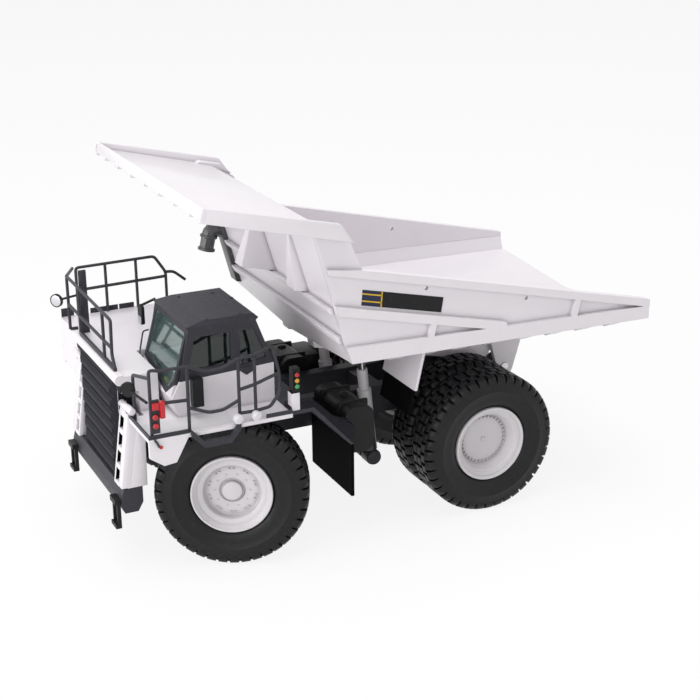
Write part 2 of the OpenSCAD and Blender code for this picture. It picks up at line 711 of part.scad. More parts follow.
module cab_glass() color("teal") placed() {
    mid = (cab_wall - glass_t) / 2;
    for (y = [cab_left_y - cab_wall + mid, cab_right_y + mid]) slab(y, y + glass_t) {
        door_window();
        quarter_window();
    }
    intersection() {
        windscreen_cut();
        slab(cab_right_y, cab_left_y) edge_wall(a_nose + [-mid, 0], a_top + [-mid, 0], -glass_t);
    }
    intersection() {
        rear_cut();
        slab(cab_right_y, cab_left_y) edge_wall(c_belt + [mid, 0], c_top + [mid, 0], glass_t);
    }
}

seat_y = 22;

module cab_seat() color(black) placed() translate([front_x, seat_y, cab_z + 1]) {
    block([-4, -4, 0], [4, 4, 6]);
    block([-5, -5, 6], [5, 5, 9]);
    slab(-5, 5) polygon([[-5, 9], [-2.5, 9], [-5, 21], [-7, 21]]);
}

wheel_r = 4;
wheel_t = 0.8;

module cab_controls() color(black) placed() {
    block([front_x + 15, cab_right_y + 3, cab_z + 1], [front_x + 20, cab_left_y - 3, cab_z + 9]);
    translate([front_x + 13.5, seat_y, cab_z + 10]) rotate([0, -60, 0]) {
        difference() {
            cylinder(r = wheel_r, h = wheel_t);
            translate([0, 0, -1]) cylinder(r = wheel_r - wheel_t, h = 3);
        }
        for (a = [0 : 120 : 240]) rotate([0, 0, a]) translate([0, -0.4, 0]) cube([3.6, 0.8, wheel_t]);
        translate([0, 0, -3]) cylinder(r = 0.8, h = 3 + wheel_t);
    }
}

// Mirrors: round ones at the front corners, a tall one by the door, one across the windscreen
mirror_arm = 0.5;
round_mirror_r = 2.7;
mirror_turn = 40;

module round_mirror(at) translate(at) rotate([0, 90, mirror_turn])
    cylinder(r = round_mirror_r, h = 1.2, center = true);

module mirrors() color(black) placed() {
    left = [nose_x, 42, 73.2];
    right = [nose_x - 1, -handrail_y, 77.6];
    round_mirror(left);
    bar(left, [front_x + 38.95, handrail_y - 0.8, 71.6], mirror_arm);
    round_mirror(right);
    bar(right, [front_x + 32.4 + rail_bar, -handrail_y, 78.6], mirror_arm);
    block([front_x + 15.4, cab_left_y + 1.8, cab_z + 4.5], [front_x + 19.4, cab_left_y + 4.6, cab_z + 15]);
    bar([front_x + 18, cab_left_y, cab_z + 8], [front_x + 18, cab_left_y + 2, cab_z + 8], mirror_arm);
    across(front_x + 22.8, front_x + 24) round_area([-0.3, 82], [4.3, 89.5], 1.5);
    bar([front_x + 23.4, 2, 89.2], [front_x + 18, cab_right_y - 0.65, cab_top + 1.2], mirror_arm);
}

// Lamp boards on the front corners, each with three round lamps and a box lamp behind
lamp_x0 = nose_x - 6.4;
lamp_x1 = nose_x - 3;
lamp_z0 = 61;
lamp_z1 = 73.2;
lamp_r = 1.1;

module lamp_clusters() color("red") placed() both_sides() {
    slab(deck_half_w + joint_gap, deck_half_w + 1) area([lamp_x0, lamp_z0], [lamp_x1, lamp_z1]);
    slab(deck_half_w + 1, deck_half_w + 1.6) for (z = [64, 67.2, 70.4])
        translate([lamp_x0 + 1.7, z]) circle(r = lamp_r);
    block([lamp_x0 - 1.6, deck_half_w + joint_gap, lamp_z1 - 5.4],
        [lamp_x0, deck_half_w + 2.4, lamp_z1 - 0.6]);
}

work_lamp_r = 1.7;

module work_lamps() color(white) placed() for (x = [front_x - 1.4, front_x + 4.2])
    translate([x, deck_half_w + weld_gap, deck_left_z - 0.4]) rotate([-90, 0, 0])
        cylinder(r = work_lamp_r, h = 2.2);

// Load lamps behind the cab: a bracket with a box of three lamps
module load_lamps() color(black) placed() {
    x0 = front_x - 17.6;
    block([x0, flap_out - 3.6, deck_left_z], [x0 + 3, flap_out, deck_left_z + 7]);
    block([x0 - 0.4, flap_out - 3.4, deck_left_z + 7], [x0 + 2.4, flap_out - 0.2, deck_left_z + 16]);
    slab(flap_out - 0.2, flap_out + 0.4) for (z = [9.3, 11.5, 13.7])
        translate([x0 + 1, deck_left_z + z]) circle(r = 0.85);
}

// Bed
sill_h = 5;
rib_half = 1.2;
hole_r = 0.8;
hole_at = [[68.5, bed_rail_z - 4.4], [24.7, bed_rail_z - 4.4]];

module bed_side_outline() difference() {
    polygon([tail_low, tail_top, gusset_rear, gusset_top, [canopy_rear_x, canopy_z - gusset_drop],
        [canopy_rear_x + 1.2, wall_top_z], [wall_x(wall_top_z), wall_top_z], floor_front]);
    for (p = hole_at) translate(p) circle(r = hole_r);
}

// Side plate with its sill, top rail, half rib and two short posts
module bed_side() {
    rib_z = 27.2;
    rib_rear = 33;
    slab(side_in, side_out) bed_side_outline();
    slab(side_out, bed_half_w) {
        polygon([tail_low, tail_low + [1.2, sill_h], floor_front + [3.4, sill_h + 0.6], floor_front]);
        polygon([tail_top - [0.7, 3], tail_top, gusset_rear + [0.5, 0], gusset_rear + [14, -1.1],
            gusset_rear + [13, -3]]);
        polygon([[rib_rear, rib_z - 1.7], [rib_rear, rib_z + 1.7], [wall_x(rib_z + 1.7), rib_z + 1.7],
            [wall_x(rib_z - 1.7), rib_z - 1.7]]);
        translate([rib_rear, rib_z]) circle(r = 1.7);
        for (p = [[2, bed_rail_z - 2], [63, rib_z]])
            area([p[0] - rib_half, floor_z(p[0]) + sill_h - 1.4], [p[0] + rib_half, p[1]]);
    }
}

module bed_side_left() color(white) raised() bed_side();
module bed_side_right() color(white) raised() mirror([0, 1, 0]) bed_side();

// A section, Y and height off the sill's underside, swept along the floor
module along_floor() translate([floor_front[0], 0, floor_front[1]]) rotate([0, -atan(floor_slope), 0])
    across(-140, 60) children();

// What lies under the floor between y0 and y1
module under_floor(y0, y1) along_floor() polygon([[y0, floor_under(y0) - weld_gap],
    [y1, floor_under(y1) - weld_gap], [y1, -60], [y0, -60]]);

// Floor: a shallow V between fillets, cut off along the tail and the front wall
floor_low = -2;
floor_high = 42;

module bed_floor() color(white) raised() intersection() {
    slab(-side_in, side_in)
        polygon([[tail_x(20) + 0.2, 20], [tail_x(floor_high) + 0.2, floor_high],
            [wall_x(floor_high) - wall_t, floor_high], [wall_x(floor_low) - wall_t, floor_low]]);
    along_floor() polygon([[-side_in, fillet_h], [-side_in + fillet_w, floor_edge],
        [0, floor_edge - floor_dip], [side_in - fillet_w, floor_edge], [side_in, fillet_h],
        [side_in, floor_under(side_in)], [0, floor_under(0)], [-side_in, floor_under(side_in)]]);
}

// Front wall: plate, two box beams across it and three wedge gussets up to the canopy
duct_y = side_in - 0.2;
duct_w = 6.6;
beam_out = 2.4;
gusset_z = 27.7;
gusset_x = 121.2;
gusset_half = 3.6;
gusset_tip = 0.9;
// Place across the wall and lower edge of each gusset; the one behind the cab stays above its roof
gussets = [[-30, gusset_z], [-0.4, gusset_z], [30, gusset_z + 22]];

module wall_beam(z0, z1) slab(-duct_y + duct_w + 0.6, side_in)
    polygon([[wall_x(z0) - 0.1, z0], [wall_x(z0) + beam_out, z0 + 0.6], [wall_x(z1) + beam_out, z1 - 0.6],
        [wall_x(z1) - 0.1, z1]]);

module bed_front_wall() color(white) raised() {
    intersection() {
        slab(-side_in, side_in)
            polygon([[wall_x(floor_low), floor_low], [wall_x(wall_top_z), wall_top_z],
                [wall_x(wall_top_z) - wall_t, wall_top_z], [wall_x(floor_low) - wall_t, floor_low]]);
        along_floor() polygon([[-side_in, 80], [-side_in, floor_under(side_in)], [0, floor_under(0)],
            [side_in, floor_under(side_in)], [side_in, 80]]);
    }
    wall_beam(14, 17.6);
    wall_beam(24.6, gusset_z);
    for (g = gussets) intersection() {
        slab(-side_in, side_in)
            polygon([[wall_x(g[1]) - 0.1, g[1]], [gusset_x, g[1]], [gusset_x, wall_top_z],
                [wall_x(wall_top_z) - 0.1, wall_top_z]]);
        across(0, canopy_x) polygon([[g[0] - gusset_half, g[1]], [g[0] + gusset_half, g[1]],
            [g[0] + gusset_tip, wall_top_z], [g[0] - gusset_tip, wall_top_z]]);
    }
}

// Canopy: plate, side skirts and the ribs whose ends show along its front edge
canopy_ribs = [-48 : 16 : 48];
canopy_rib_w = 3;

module bed_canopy() color(white) raised() {
    front = canopy_x - 0.4;
    under = canopy_z - canopy_t;
    skirt_x = canopy_rear_x + 7;
    slab(-canopy_half_w, canopy_half_w)
        polygon([gusset_top + [0, joint_gap], [canopy_rear_x, canopy_z], [front, canopy_z], [front, under],
            [canopy_rear_x + 1.2, under], [canopy_rear_x, canopy_z - gusset_drop + weld_gap]]);
    both_sides() slab(canopy_half_w - canopy_t, canopy_half_w)
        area([skirt_x, canopy_z - skirt_h], [canopy_x, canopy_z - 1]);
    for (y = canopy_ribs)
        block([gusset_x + 1, y - canopy_rib_w / 2, canopy_z - rib_drop],
            [front, y + canopy_rib_w / 2, under + 0.5]);
}

// Long beams over the frame rails, with the hinge ears and the cheeks of the hoist pins
beam_z = rail_top + 1 - hinge_z;
beam_lift = 1.5;
ear_y0 = rail_out + ear_gap;
ear_r = hinge_pin_r + 2.4;
cheek_r = 2.6;
cheek_gap = 2.3;
cheek_t = 0.8;

module cheek() translate(hoist_pin) {
    circle(r = cheek_r);
    polygon([[-cheek_r, 0], [cheek_r, 0], floor_at(hoist_pin[0] + 4, beam_lift) - hoist_pin,
        floor_at(hoist_pin[0] - 4, beam_lift) - hoist_pin]);
}

module beam_pieces() {
    slab(rail_in, ear_y0)
        polygon([[9, beam_z], [floor_front[0] - 6, beam_z], floor_at(floor_front[0] - 2, beam_lift),
            floor_at(4, beam_lift), [4, 14]]);
    slab(ear_y0, ear_y0 + ear_t) difference() {
        union() {
            circle(r = ear_r);
            polygon([[-ear_r, 0], floor_at(-6, beam_lift), floor_at(18, beam_lift), [ear_r, 0]]);
        }
        circle(r = hinge_pin_r + run_fit);
    }
    for (y = [hoist_y - cheek_gap - cheek_t, hoist_y + cheek_gap]) slab(y, y + cheek_t) cheek();
}

module bed_beams() color(white) raised() both_sides() intersection() {
    under_floor(rail_in - 1, bolster_in);
    beam_pieces();
}

// Bolsters under the floor, outside the hoists
bolster_in = hoist_y + cheek_gap + cheek_t + 0.7;
bolster_x = [-26 : 13.5 : 69];
bolster_half = 3;
bolster_drop = 6;
bolster_taper = 10;

module bed_bolsters() color(white) raised() both_sides() intersection() {
    for (x = bolster_x) slab(bolster_in, side_in)
        polygon([floor_at(x - bolster_half, beam_lift), floor_at(x + bolster_half, beam_lift),
            [x + bolster_half - 1, floor_z(x) - 2 * bolster_drop],
            [x - bolster_half + 1, floor_z(x) - 2 * bolster_drop]]);
    along_floor() polygon([[bolster_in, floor_under(bolster_in) - weld_gap],
        [side_in - 1, floor_under(side_in - 1) - weld_gap], [side_in - bolster_taper, -bolster_drop],
        [bolster_in, -bolster_drop]]);
}

// Guard plates ahead of the rear wheels, with rubber flaps behind them
guard_x = 58.5;
guard_t = 1.2;
guard_in = bolster_in + 0.5;
guard_out = 49;
guard_low = -3;
flap_rise = 4;
flap_drop = -13.5;

module bed_guards() color(white) raised() both_sides() intersection() {
    under_floor(guard_in, guard_out);
    slab(guard_in, guard_out)
        polygon([[guard_x, guard_low], [guard_x + guard_t, guard_low],
            floor_at(guard_x + guard_t, beam_lift), floor_at(guard_x, beam_lift)]);
}

module bed_flaps() color(black) raised() both_sides() slab(guard_in, guard_out - 3)
    area([guard_x - 1, flap_drop], [guard_x, flap_rise]);

// Exhaust: a flat duct up the right edge of the front wall and a pipe elbow off it
pipe_r = 3;
pipe_x = 110.8;
pipe_z = 30.3;
pipe_end = 21.2;
duct_t = 2.3;
duct_z = [10, 34];

module bed_exhaust() color(dark) raised() {
    slab(-duct_y, -duct_y + duct_w)
        polygon([for (p = [[0, weld_gap], [0, duct_t], [1, duct_t], [1, weld_gap]])
            [wall_x(duct_z[p[0]]) + p[1], duct_z[p[0]]]]);
    translate([0, -duct_y + duct_w / 2, 0]) {
        translate([wall_x(pipe_z + pipe_r) + 0.3, 0, pipe_z]) rotate([0, 90, 0])
            cylinder(r = pipe_r, h = pipe_x - wall_x(pipe_z + pipe_r) - 0.3);
        translate([pipe_x, 0, pipe_z]) sphere(r = pipe_r);
        translate([pipe_x, 0, pipe_end]) cylinder(r = pipe_r, h = pipe_z - pipe_end);
        for (z = [pipe_end, pipe_z - 3.4]) translate([pipe_x, 0, z]) cylinder(r = pipe_r + 0.6, h = 1);
    }
}

// Hoist pieces, drawn upright from the lower pivot
barrel_len = 29;
barrel_eye_r = 3.2;
sleeve_r = barrel_r - 0.7;
rod_r = sleeve_r - 0.6;
rod_eye_r = 2.3;
rod_eye_half = 1.9;
closed_len = 34.9;
stage_out = (hoist_len - closed_len) / 2;

module hoist(side) placed()
    translate([hoist_x, side * hoist_y, hoist_z]) rotate([0, hoist_lean, 0]) children();

module hoist_barrel(side) hoist(side) difference() {
    union() {
        translate([0, 0, 3]) cylinder(r = barrel_r, h = barrel_len - 3);
        slab(-barrel_eye_half, barrel_eye_half) circle(r = barrel_eye_r);
    }
    slab(-barrel_eye_r, barrel_eye_r) circle(r = pivot_r + run_fit);
    translate([0, 0, 3.5]) cylinder(r = sleeve_r + run_fit, h = barrel_len);
}

module hoist_sleeve(side) hoist(side) translate([0, 0, stage_out]) difference() {
    translate([0, 0, 4]) cylinder(r = sleeve_r, h = barrel_len - 2.5);
    translate([0, 0, 5]) cylinder(r = rod_r + run_fit, h = barrel_len);
}

module hoist_rod(side) hoist(side) {
    rod_start = 2 * stage_out + 5.3;
    translate([0, 0, rod_start]) cylinder(r = rod_r, h = hoist_len - rod_start);
    translate([0, 0, hoist_len]) slab(-rod_eye_half, rod_eye_half) circle(r = rod_eye_r);
}

module hoist_barrel_left() color(white) hoist_barrel(1);
module hoist_barrel_right() color(white) hoist_barrel(-1);
module hoist_sleeve_left() color(steel) hoist_sleeve(1);
module hoist_sleeve_right() color(steel) hoist_sleeve(-1);
module hoist_rod_left() color(steel) hoist_rod(1);
module hoist_rod_right() color(steel) hoist_rod(-1);

frame_rails();
cross_members();
hoist_trunnion();
hinge_pin();
front_axle();
rear_axle();
fuel_tank();
hydraulic_tank();
engine_bay();
hood();
grille();
bumper();
ladder_columns();
ladder_steps();
deck_left();
deck_right();
deck_kerbs();
fender_backs();
mud_flaps();
handrail_left();
handrail_right();
handrail_front();
cab_floor();
cab_lower_panels();
cab_window_frames();
cab_roof();
cab_glass();
cab_seat();
cab_controls();
mirrors();
lamp_clusters();
work_lamps();
load_lamps();
knuckle_left();
knuckle_right();
tyre_front_left();
rim_front_left();
tyre_front_right();
rim_front_right();
tyres_rear_left();
rims_rear_left();
tyres_rear_right();
rims_rear_right();
bed_floor();
bed_side_left();
bed_side_right();
bed_front_wall();
bed_canopy();
bed_beams();
bed_bolsters();
bed_guards();
bed_flaps();
bed_exhaust();
hoist_barrel_left();
hoist_sleeve_left();
hoist_rod_left();
hoist_barrel_right();
hoist_sleeve_right();
hoist_rod_right();
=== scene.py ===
import json
import math

import bmesh
import bpy
from mathutils import Matrix, Vector


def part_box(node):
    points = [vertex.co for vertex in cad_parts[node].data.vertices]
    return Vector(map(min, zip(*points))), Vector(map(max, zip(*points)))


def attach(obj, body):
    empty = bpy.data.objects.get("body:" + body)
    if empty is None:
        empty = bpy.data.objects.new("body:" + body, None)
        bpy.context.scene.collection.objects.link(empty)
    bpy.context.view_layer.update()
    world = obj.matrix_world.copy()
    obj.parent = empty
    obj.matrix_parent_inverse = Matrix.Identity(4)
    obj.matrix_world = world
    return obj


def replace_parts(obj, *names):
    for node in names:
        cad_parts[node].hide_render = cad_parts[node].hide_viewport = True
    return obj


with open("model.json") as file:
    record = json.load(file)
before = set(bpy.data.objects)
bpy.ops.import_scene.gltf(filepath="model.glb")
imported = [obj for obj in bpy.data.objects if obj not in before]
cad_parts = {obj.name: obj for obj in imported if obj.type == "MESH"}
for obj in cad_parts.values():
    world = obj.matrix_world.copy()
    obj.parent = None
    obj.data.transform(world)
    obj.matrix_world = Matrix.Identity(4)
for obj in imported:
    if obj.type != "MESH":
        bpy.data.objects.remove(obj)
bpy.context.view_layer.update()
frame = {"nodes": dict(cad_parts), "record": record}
cadNodes = frame["nodes"]
print("frame loaded with", len(cadNodes), "nodes")

# the truck is drawn in millimetres from the rear axle, +X forward, +Y left, ground at zero
truck = {
    "midX": 39.4958,
    "steerTurn": -24.6,  # front wheels, degrees about the kingpins
    "bedTilt": 13.15,
    "hinge": (-26.0, 0.0, 45.0),
}
mm = 0.001
toFrame = Matrix.Scale(mm, 4) @ Matrix.Translation((-truck["midX"], 0, 0))
bedTurn = Matrix.Rotation(math.radians(-truck["bedTilt"]), 4, "Y")
bedToFrame = toFrame @ Matrix.Translation(truck["hinge"]) @ bedTurn


class Wire:
    # a node's output, used in plain sums that add their Math nodes
    def __init__(self, finish, socket):
        self.finish = finish
        self.socket = socket

    def sum(self, operation, a, b):
        return self.finish.node("ShaderNodeMath", {"operation": operation}, {0: a, 1: b})

    def __add__(self, other):
        return self.sum("ADD", self, other)

    def __radd__(self, other):
        return self.sum("ADD", other, self)

    def __sub__(self, other):
        return self.sum("SUBTRACT", self, other)

    def __rsub__(self, other):
        return self.sum("SUBTRACT", other, self)

    def __mul__(self, other):
        return self.sum("MULTIPLY", self, other)

    def __rmul__(self, other):
        return self.sum("MULTIPLY", other, self)


class Finish:
    # the node tree of one material, or of the world
    def __init__(self, owner):
        owner.use_nodes = True
        self.owner = owner
        self.tree = owner.node_tree
        self.tree.nodes.clear()

    def node(self, kind, settings=None, sockets=None, out=0):
        made = self.tree.nodes.new(kind)
        for key, value in (settings or {}).items():
            setattr(made, key, value)
        for key, value in (sockets or {}).items():
            if isinstance(value, Wire):
                self.tree.links.new(value.socket, made.inputs[key])
            else:
                made.inputs[key].default_value = value
        return Wire(self, made.outputs[out])

    def at(self, stretch=(1, 1, 1), turn=(0, 0, 0)):
        place = self.node("ShaderNodeTexCoord", out="Object")
        return self.node("ShaderNodeMapping", None, {"Vector": place, "Scale": stretch, "Rotation": turn})

    def noise(self, size, detail=3.0, stretch=(1, 1, 1)):
        # size is the width of one blotch in millimetres
        return self.node("ShaderNodeTexNoise", None, {
            "Vector": self.at(stretch), "Scale": 1000.0 / size, "Detail": detail, "Roughness": 0.55})

    def ramp(self, value, low, high):
        return self.node("ShaderNodeMapRange", {"clamp": True},
                         {"Value": value, "From Min": low, "From Max": high, "To Min": 0.0, "To Max": 1.0})

    def blend(self, share, a, b):
        return self.node("ShaderNodeMix", {"data_type": "RGBA"}, {0: share, 6: a, 7: b}, out=2)

    def bump(self, height, depth, normal=None):
        # depth is the relief in millimetres
        sockets = {"Height": height, "Distance": depth * mm}
        if normal:
            sockets["Normal"] = normal
        return self.node("ShaderNodeBump", None, sockets)

    def creaseShade(self, size):
        # painted shade: 1 in the open, less in corners nearer than size, in millimetres
        return self.node("ShaderNodeAmbientOcclusion", {"samples": 6}, {"Distance": size * mm}, out="AO")

    def axis(self, name):
        return self.node("ShaderNodeSeparateXYZ", None, {0: self.at()}, out=name)

    def shade(self, sockets):
        surface = self.node("ShaderNodeBsdfPrincipled", None, sockets)
        self.close(surface)
        return self.owner

    def close(self, surface):
        end = self.tree.nodes.new("ShaderNodeOutputMaterial")
        self.tree.links.new(surface.socket, end.inputs["Surface"])


def newFinish(name):
    return Finish(bpy.data.materials.new(name))


def enamel(name, look):
    # sprayed paint on die-cast metal: faint orange peel, cloudy tone, gloss that varies a little, and painted
    # shade darkening its corners and creases
    coat = newFinish(name)
    cloud = coat.noise(look["cloud"], 4.0)
    peel = coat.noise(look["peel"], 2.0)
    dust = coat.ramp(coat.noise(look["dustSize"], 6.0), 0.52, 0.78)
    creaseShade = coat.creaseShade(look["creaseShadeSize"])
    edge = coat.node("ShaderNodeBevel", {"samples": 4}, {"Radius": look["edge"] * mm})
    tone = coat.blend(cloud, look["colour"], look["shade"])
    dusty = coat.blend(dust * look["dust"], tone, look["dustColour"])
    # painted shade: the base colour darkens towards the crease shade colour in corners and creases
    return coat.shade({
        "Base Color": coat.blend(coat.ramp(creaseShade, 0.3, 0.85), look["creaseShadeColour"], dusty),
        "Roughness": look["rough"] + (cloud - 0.5) * look["roughVary"] + dust * look["dust"] * 0.4,
        "Normal": coat.bump(peel, look["relief"], edge),
        "Coat Weight": look["coat"],
        "Coat Roughness": 0.12,
        "Specular IOR Level": 0.5,
    })


def plastic(name, look):
    # moulded plastic with a fine spark-eroded grain, and painted shade darkening its corners where a crease
    # shade size is given
    coat = newFinish(name)
    grain = coat.noise(look["grain"], 5.0)
    cloud = coat.noise(look["cloud"], 3.0)
    rub = coat.ramp(coat.noise(look["rubSize"], 5.0), 0.55, 0.75)
    tone = coat.blend(cloud, look["colour"], look["shade"])
    rubbed = coat.blend(rub * look["rub"], tone, look["rubColour"])
    # painted shade in corners, from ambient occlusion
    if "creaseShadeSize" in look:
        openShare = coat.ramp(coat.creaseShade(look["creaseShadeSize"]), 0.3, 0.9)
        rubbed = coat.blend(openShare, look["creaseShadeColour"], rubbed)
    return coat.shade({
        "Base Color": rubbed,
        "Roughness": look["rough"] + (grain - 0.5) * look["roughVary"] - rub * look["rub"] * 0.25,
        "Normal": coat.bump(grain, look["relief"]),
        "Specular IOR Level": look["gloss"],
    })


def hatched(name, look):
    # white walkway with raised diagonal lines
    coat = newFinish(name)
    slant = (coat.axis("X") * look["slant"] + coat.axis("Y")) * (1.0 / (look["pitch"] * mm))
    line = coat.ramp(slant.sum("PINGPONG", slant, 0.5), 0.10, 0.22)
    cloud = coat.noise(look["cloud"])
    return coat.shade({
        "Base Color": coat.blend(line, look["lineColour"], look["colour"]),
        "Roughness": look["rough"] + (cloud - 0.5) * look["roughVary"],
        "Normal": coat.bump(line, look["relief"]),
    })


def hoistPaint(name, look):
    # white above, dark at the foot
    coat = newFinish(name)
    cloud = coat.noise(look["cloud"], 3.0)
    share = coat.ramp(coat.axis("Z"), look["foot"] * mm, look["head"] * mm)
    return coat.shade({
        "Base Color": coat.blend(share, look["shade"], look["colour"]),
        "Roughness": look["rough"] + (cloud - 0.5) * look["roughVary"],
        "Normal": coat.bump(cloud, look["relief"]),
    })


def turnedSteel(name, look):
    coat = newFinish(name)
    lines = coat.noise(look["lines"], 2.0, look["stretch"])
    cloud = coat.noise(6.0, 3.0)
    return coat.shade({
        "Base Color": coat.blend(cloud, look["colour"], look["shade"]),
        "Metallic": 1.0,
        "Roughness": look["rough"] + (lines - 0.5) * look["roughVary"],
        "Normal": coat.bump(lines, look["relief"]),
    })


def clearPlastic(name, look):
    coat = newFinish(name)
    cloud = coat.noise(look["cloud"], 2.0)
    return coat.shade({
        "Base Color": coat.blend(cloud, look["colour"], look["shade"]),
        "Roughness": look["rough"] + cloud * 0.04,
        "Transmission Weight": look["clear"],
        "IOR": 1.45,
        "Coat Weight": 0.4,
    })


# the crease keys set painted shade: how near a corner must be and how dark it is painted
looks = {
    "whitePaint": {"colour": (0.80, 0.765, 0.80, 1), "shade": (0.765, 0.73, 0.765, 1), "cloud": 26.0,
                   "peel": 0.7, "relief": 0.012, "rough": 0.36, "roughVary": 0.10, "coat": 0.2,
                   "dust": 0.12, "dustSize": 5.0, "dustColour": (0.62, 0.60, 0.60, 1),
                   "creaseShadeSize": 2.2, "creaseShadeColour": (0.50, 0.48, 0.50, 1), "edge": 0.3},
    "whitePlastic": {"colour": (0.66, 0.635, 0.655, 1), "shade": (0.61, 0.585, 0.605, 1), "cloud": 12.0,
                     "grain": 0.35, "relief": 0.008, "rough": 0.42, "roughVary": 0.12, "gloss": 0.4,
                     "rub": 0.12, "rubSize": 3.0, "rubColour": (0.55, 0.53, 0.54, 1),
                     "creaseShadeSize": 3.0, "creaseShadeColour": (0.34, 0.325, 0.335, 1)},
    "darkGrey": {"colour": (0.039, 0.039, 0.048, 1), "shade": (0.028, 0.028, 0.035, 1), "cloud": 9.0,
                 "grain": 0.28, "relief": 0.016, "rough": 0.50, "roughVary": 0.22, "gloss": 0.32,
                 "rub": 0.30, "rubSize": 2.2, "rubColour": (0.080, 0.078, 0.088, 1)},
    "black": {"colour": (0.010, 0.010, 0.011, 1), "shade": (0.006, 0.006, 0.007, 1), "cloud": 8.0,
              "grain": 0.25, "relief": 0.014, "rough": 0.46, "roughVary": 0.2, "gloss": 0.25,
              "rub": 0.35, "rubSize": 2.0, "rubColour": (0.028, 0.028, 0.030, 1)},
    "tyreRubber": {"colour": (0.011, 0.011, 0.0125, 1), "shade": (0.006, 0.006, 0.007, 1), "cloud": 7.0,
                   "grain": 0.30, "relief": 0.020, "rough": 0.42, "roughVary": 0.2, "gloss": 0.26,
                   "rub": 0.35, "rubSize": 1.6, "rubColour": (0.030, 0.030, 0.030, 1)},
    "flapRubber": {"colour": (0.004, 0.004, 0.0042, 1), "shade": (0.0025, 0.0025, 0.0027, 1), "cloud": 10.0,
                   "grain": 0.4, "relief": 0.015, "rough": 0.6, "roughVary": 0.18, "gloss": 0.02,
                   "rub": 0.3, "rubSize": 4.0, "rubColour": (0.010, 0.010, 0.011, 1)},
    "grilleGrey": {"colour": (0.013, 0.013, 0.018, 1), "shade": (0.008, 0.008, 0.012, 1), "cloud": 9.0,
                   "grain": 0.6, "relief": 0.05, "rough": 0.55, "roughVary": 0.22, "gloss": 0.12,
                   "rub": 0.25, "rubSize": 2.2, "rubColour": (0.035, 0.035, 0.042, 1)},
    "castGrey": {"colour": (0.070, 0.070, 0.073, 1), "shade": (0.045, 0.045, 0.048, 1), "cloud": 3.0,
                 "grain": 0.3, "relief": 0.03, "rough": 0.36, "roughVary": 0.2, "gloss": 0.7,
                 "rub": 0.4, "rubSize": 1.5, "rubColour": (0.16, 0.16, 0.165, 1)},
    "seatGrey": {"colour": (0.42, 0.44, 0.44, 1), "shade": (0.34, 0.36, 0.36, 1), "cloud": 4.0, "grain": 0.4,
                 "relief": 0.03, "rough": 0.7, "roughVary": 0.15, "gloss": 0.3,
                 "rub": 0.1, "rubSize": 2.0, "rubColour": (0.25, 0.26, 0.26, 1)},
    "yellow": {"colour": (0.70, 0.46, 0.02, 1), "shade": (0.62, 0.39, 0.02, 1), "cloud": 2.0, "grain": 0.3,
               "relief": 0.01, "rough": 0.4, "roughVary": 0.1, "gloss": 0.4,
               "rub": 0.1, "rubSize": 1.0, "rubColour": (0.45, 0.30, 0.05, 1)},
    "navy": {"colour": (0.020, 0.024, 0.060, 1), "shade": (0.016, 0.020, 0.050, 1), "cloud": 5.0, "grain": 0.3,
             "relief": 0.004, "rough": 0.4, "roughVary": 0.1, "gloss": 0.3,
             "rub": 0.1, "rubSize": 2.0, "rubColour": (0.05, 0.05, 0.09, 1)},
    "treadWhite": {"colour": (0.80, 0.785, 0.80, 1), "lineColour": (0.50, 0.49, 0.51, 1), "pitch": 1.0,
                   "slant": 0.6, "cloud": 9.0, "relief": 0.06, "rough": 0.45, "roughVary": 0.15},
    "hoistWhite": {"colour": (0.74, 0.72, 0.735, 1), "shade": (0.03, 0.03, 0.034, 1), "foot": 33.0,
                   "head": 35.0, "cloud": 3.0, "rough": 0.4, "roughVary": 0.15, "relief": 0.01},
    "steel": {"colour": (0.62, 0.61, 0.60, 1), "shade": (0.52, 0.51, 0.51, 1), "lines": 0.5,
              "stretch": (1, 1, 12), "rough": 0.26, "roughVary": 0.16, "relief": 0.006},
    "mirrorSilver": {"colour": (0.72, 0.72, 0.75, 1), "shade": (0.62, 0.62, 0.66, 1), "lines": 2.0,
                     "stretch": (1, 1, 1), "rough": 0.30, "roughVary": 0.08, "relief": 0.002},
    "screenGlass": {"colour": (0.62, 0.86, 0.81, 1), "shade": (0.56, 0.82, 0.77, 1), "cloud": 14.0,
                    "rough": 0.03, "clear": 0.95},
    "sideGlass": {"colour": (0.055, 0.08, 0.08, 1), "shade": (0.04, 0.06, 0.06, 1), "cloud": 14.0,
                  "rough": 0.03, "clear": 0.92},
    "glassEdge": {"colour": (0.02, 0.22, 0.17, 1), "shade": (0.015, 0.14, 0.11, 1), "cloud": 5.0,
                  "rough": 0.15, "clear": 0.2},
    "redLens": {"colour": (0.62, 0.008, 0.015, 1), "shade": (0.48, 0.005, 0.01, 1), "cloud": 1.0, "rough": 0.12,
                "clear": 0.12},
    "amberLens": {"colour": (0.85, 0.42, 0.02, 1), "shade": (0.75, 0.34, 0.02, 1), "cloud": 1.0, "rough": 0.10,
                  "clear": 0.15},
    "greenLens": {"colour": (0.05, 0.42, 0.12, 1), "shade": (0.04, 0.34, 0.10, 1), "cloud": 1.0, "rough": 0.10,
                  "clear": 0.15},
}
finishes = {"whitePaint": enamel("whitePaint", looks["whitePaint"])}
for key in ("whitePlastic", "grilleGrey", "castGrey", "darkGrey", "black", "tyreRubber", "flapRubber",
            "seatGrey", "yellow", "navy"):
    finishes[key] = plastic(key, looks[key])
finishes["treadWhite"] = hatched("treadWhite", looks["treadWhite"])
finishes["hoistWhite"] = hoistPaint("hoistWhite", looks["hoistWhite"])
for key in ("steel", "mirrorSilver"):
    finishes[key] = turnedSteel(key, looks[key])
for key in ("screenGlass", "sideGlass", "glassEdge", "redLens", "amberLens", "greenLens"):
    finishes[key] = clearPlastic(key, looks[key])

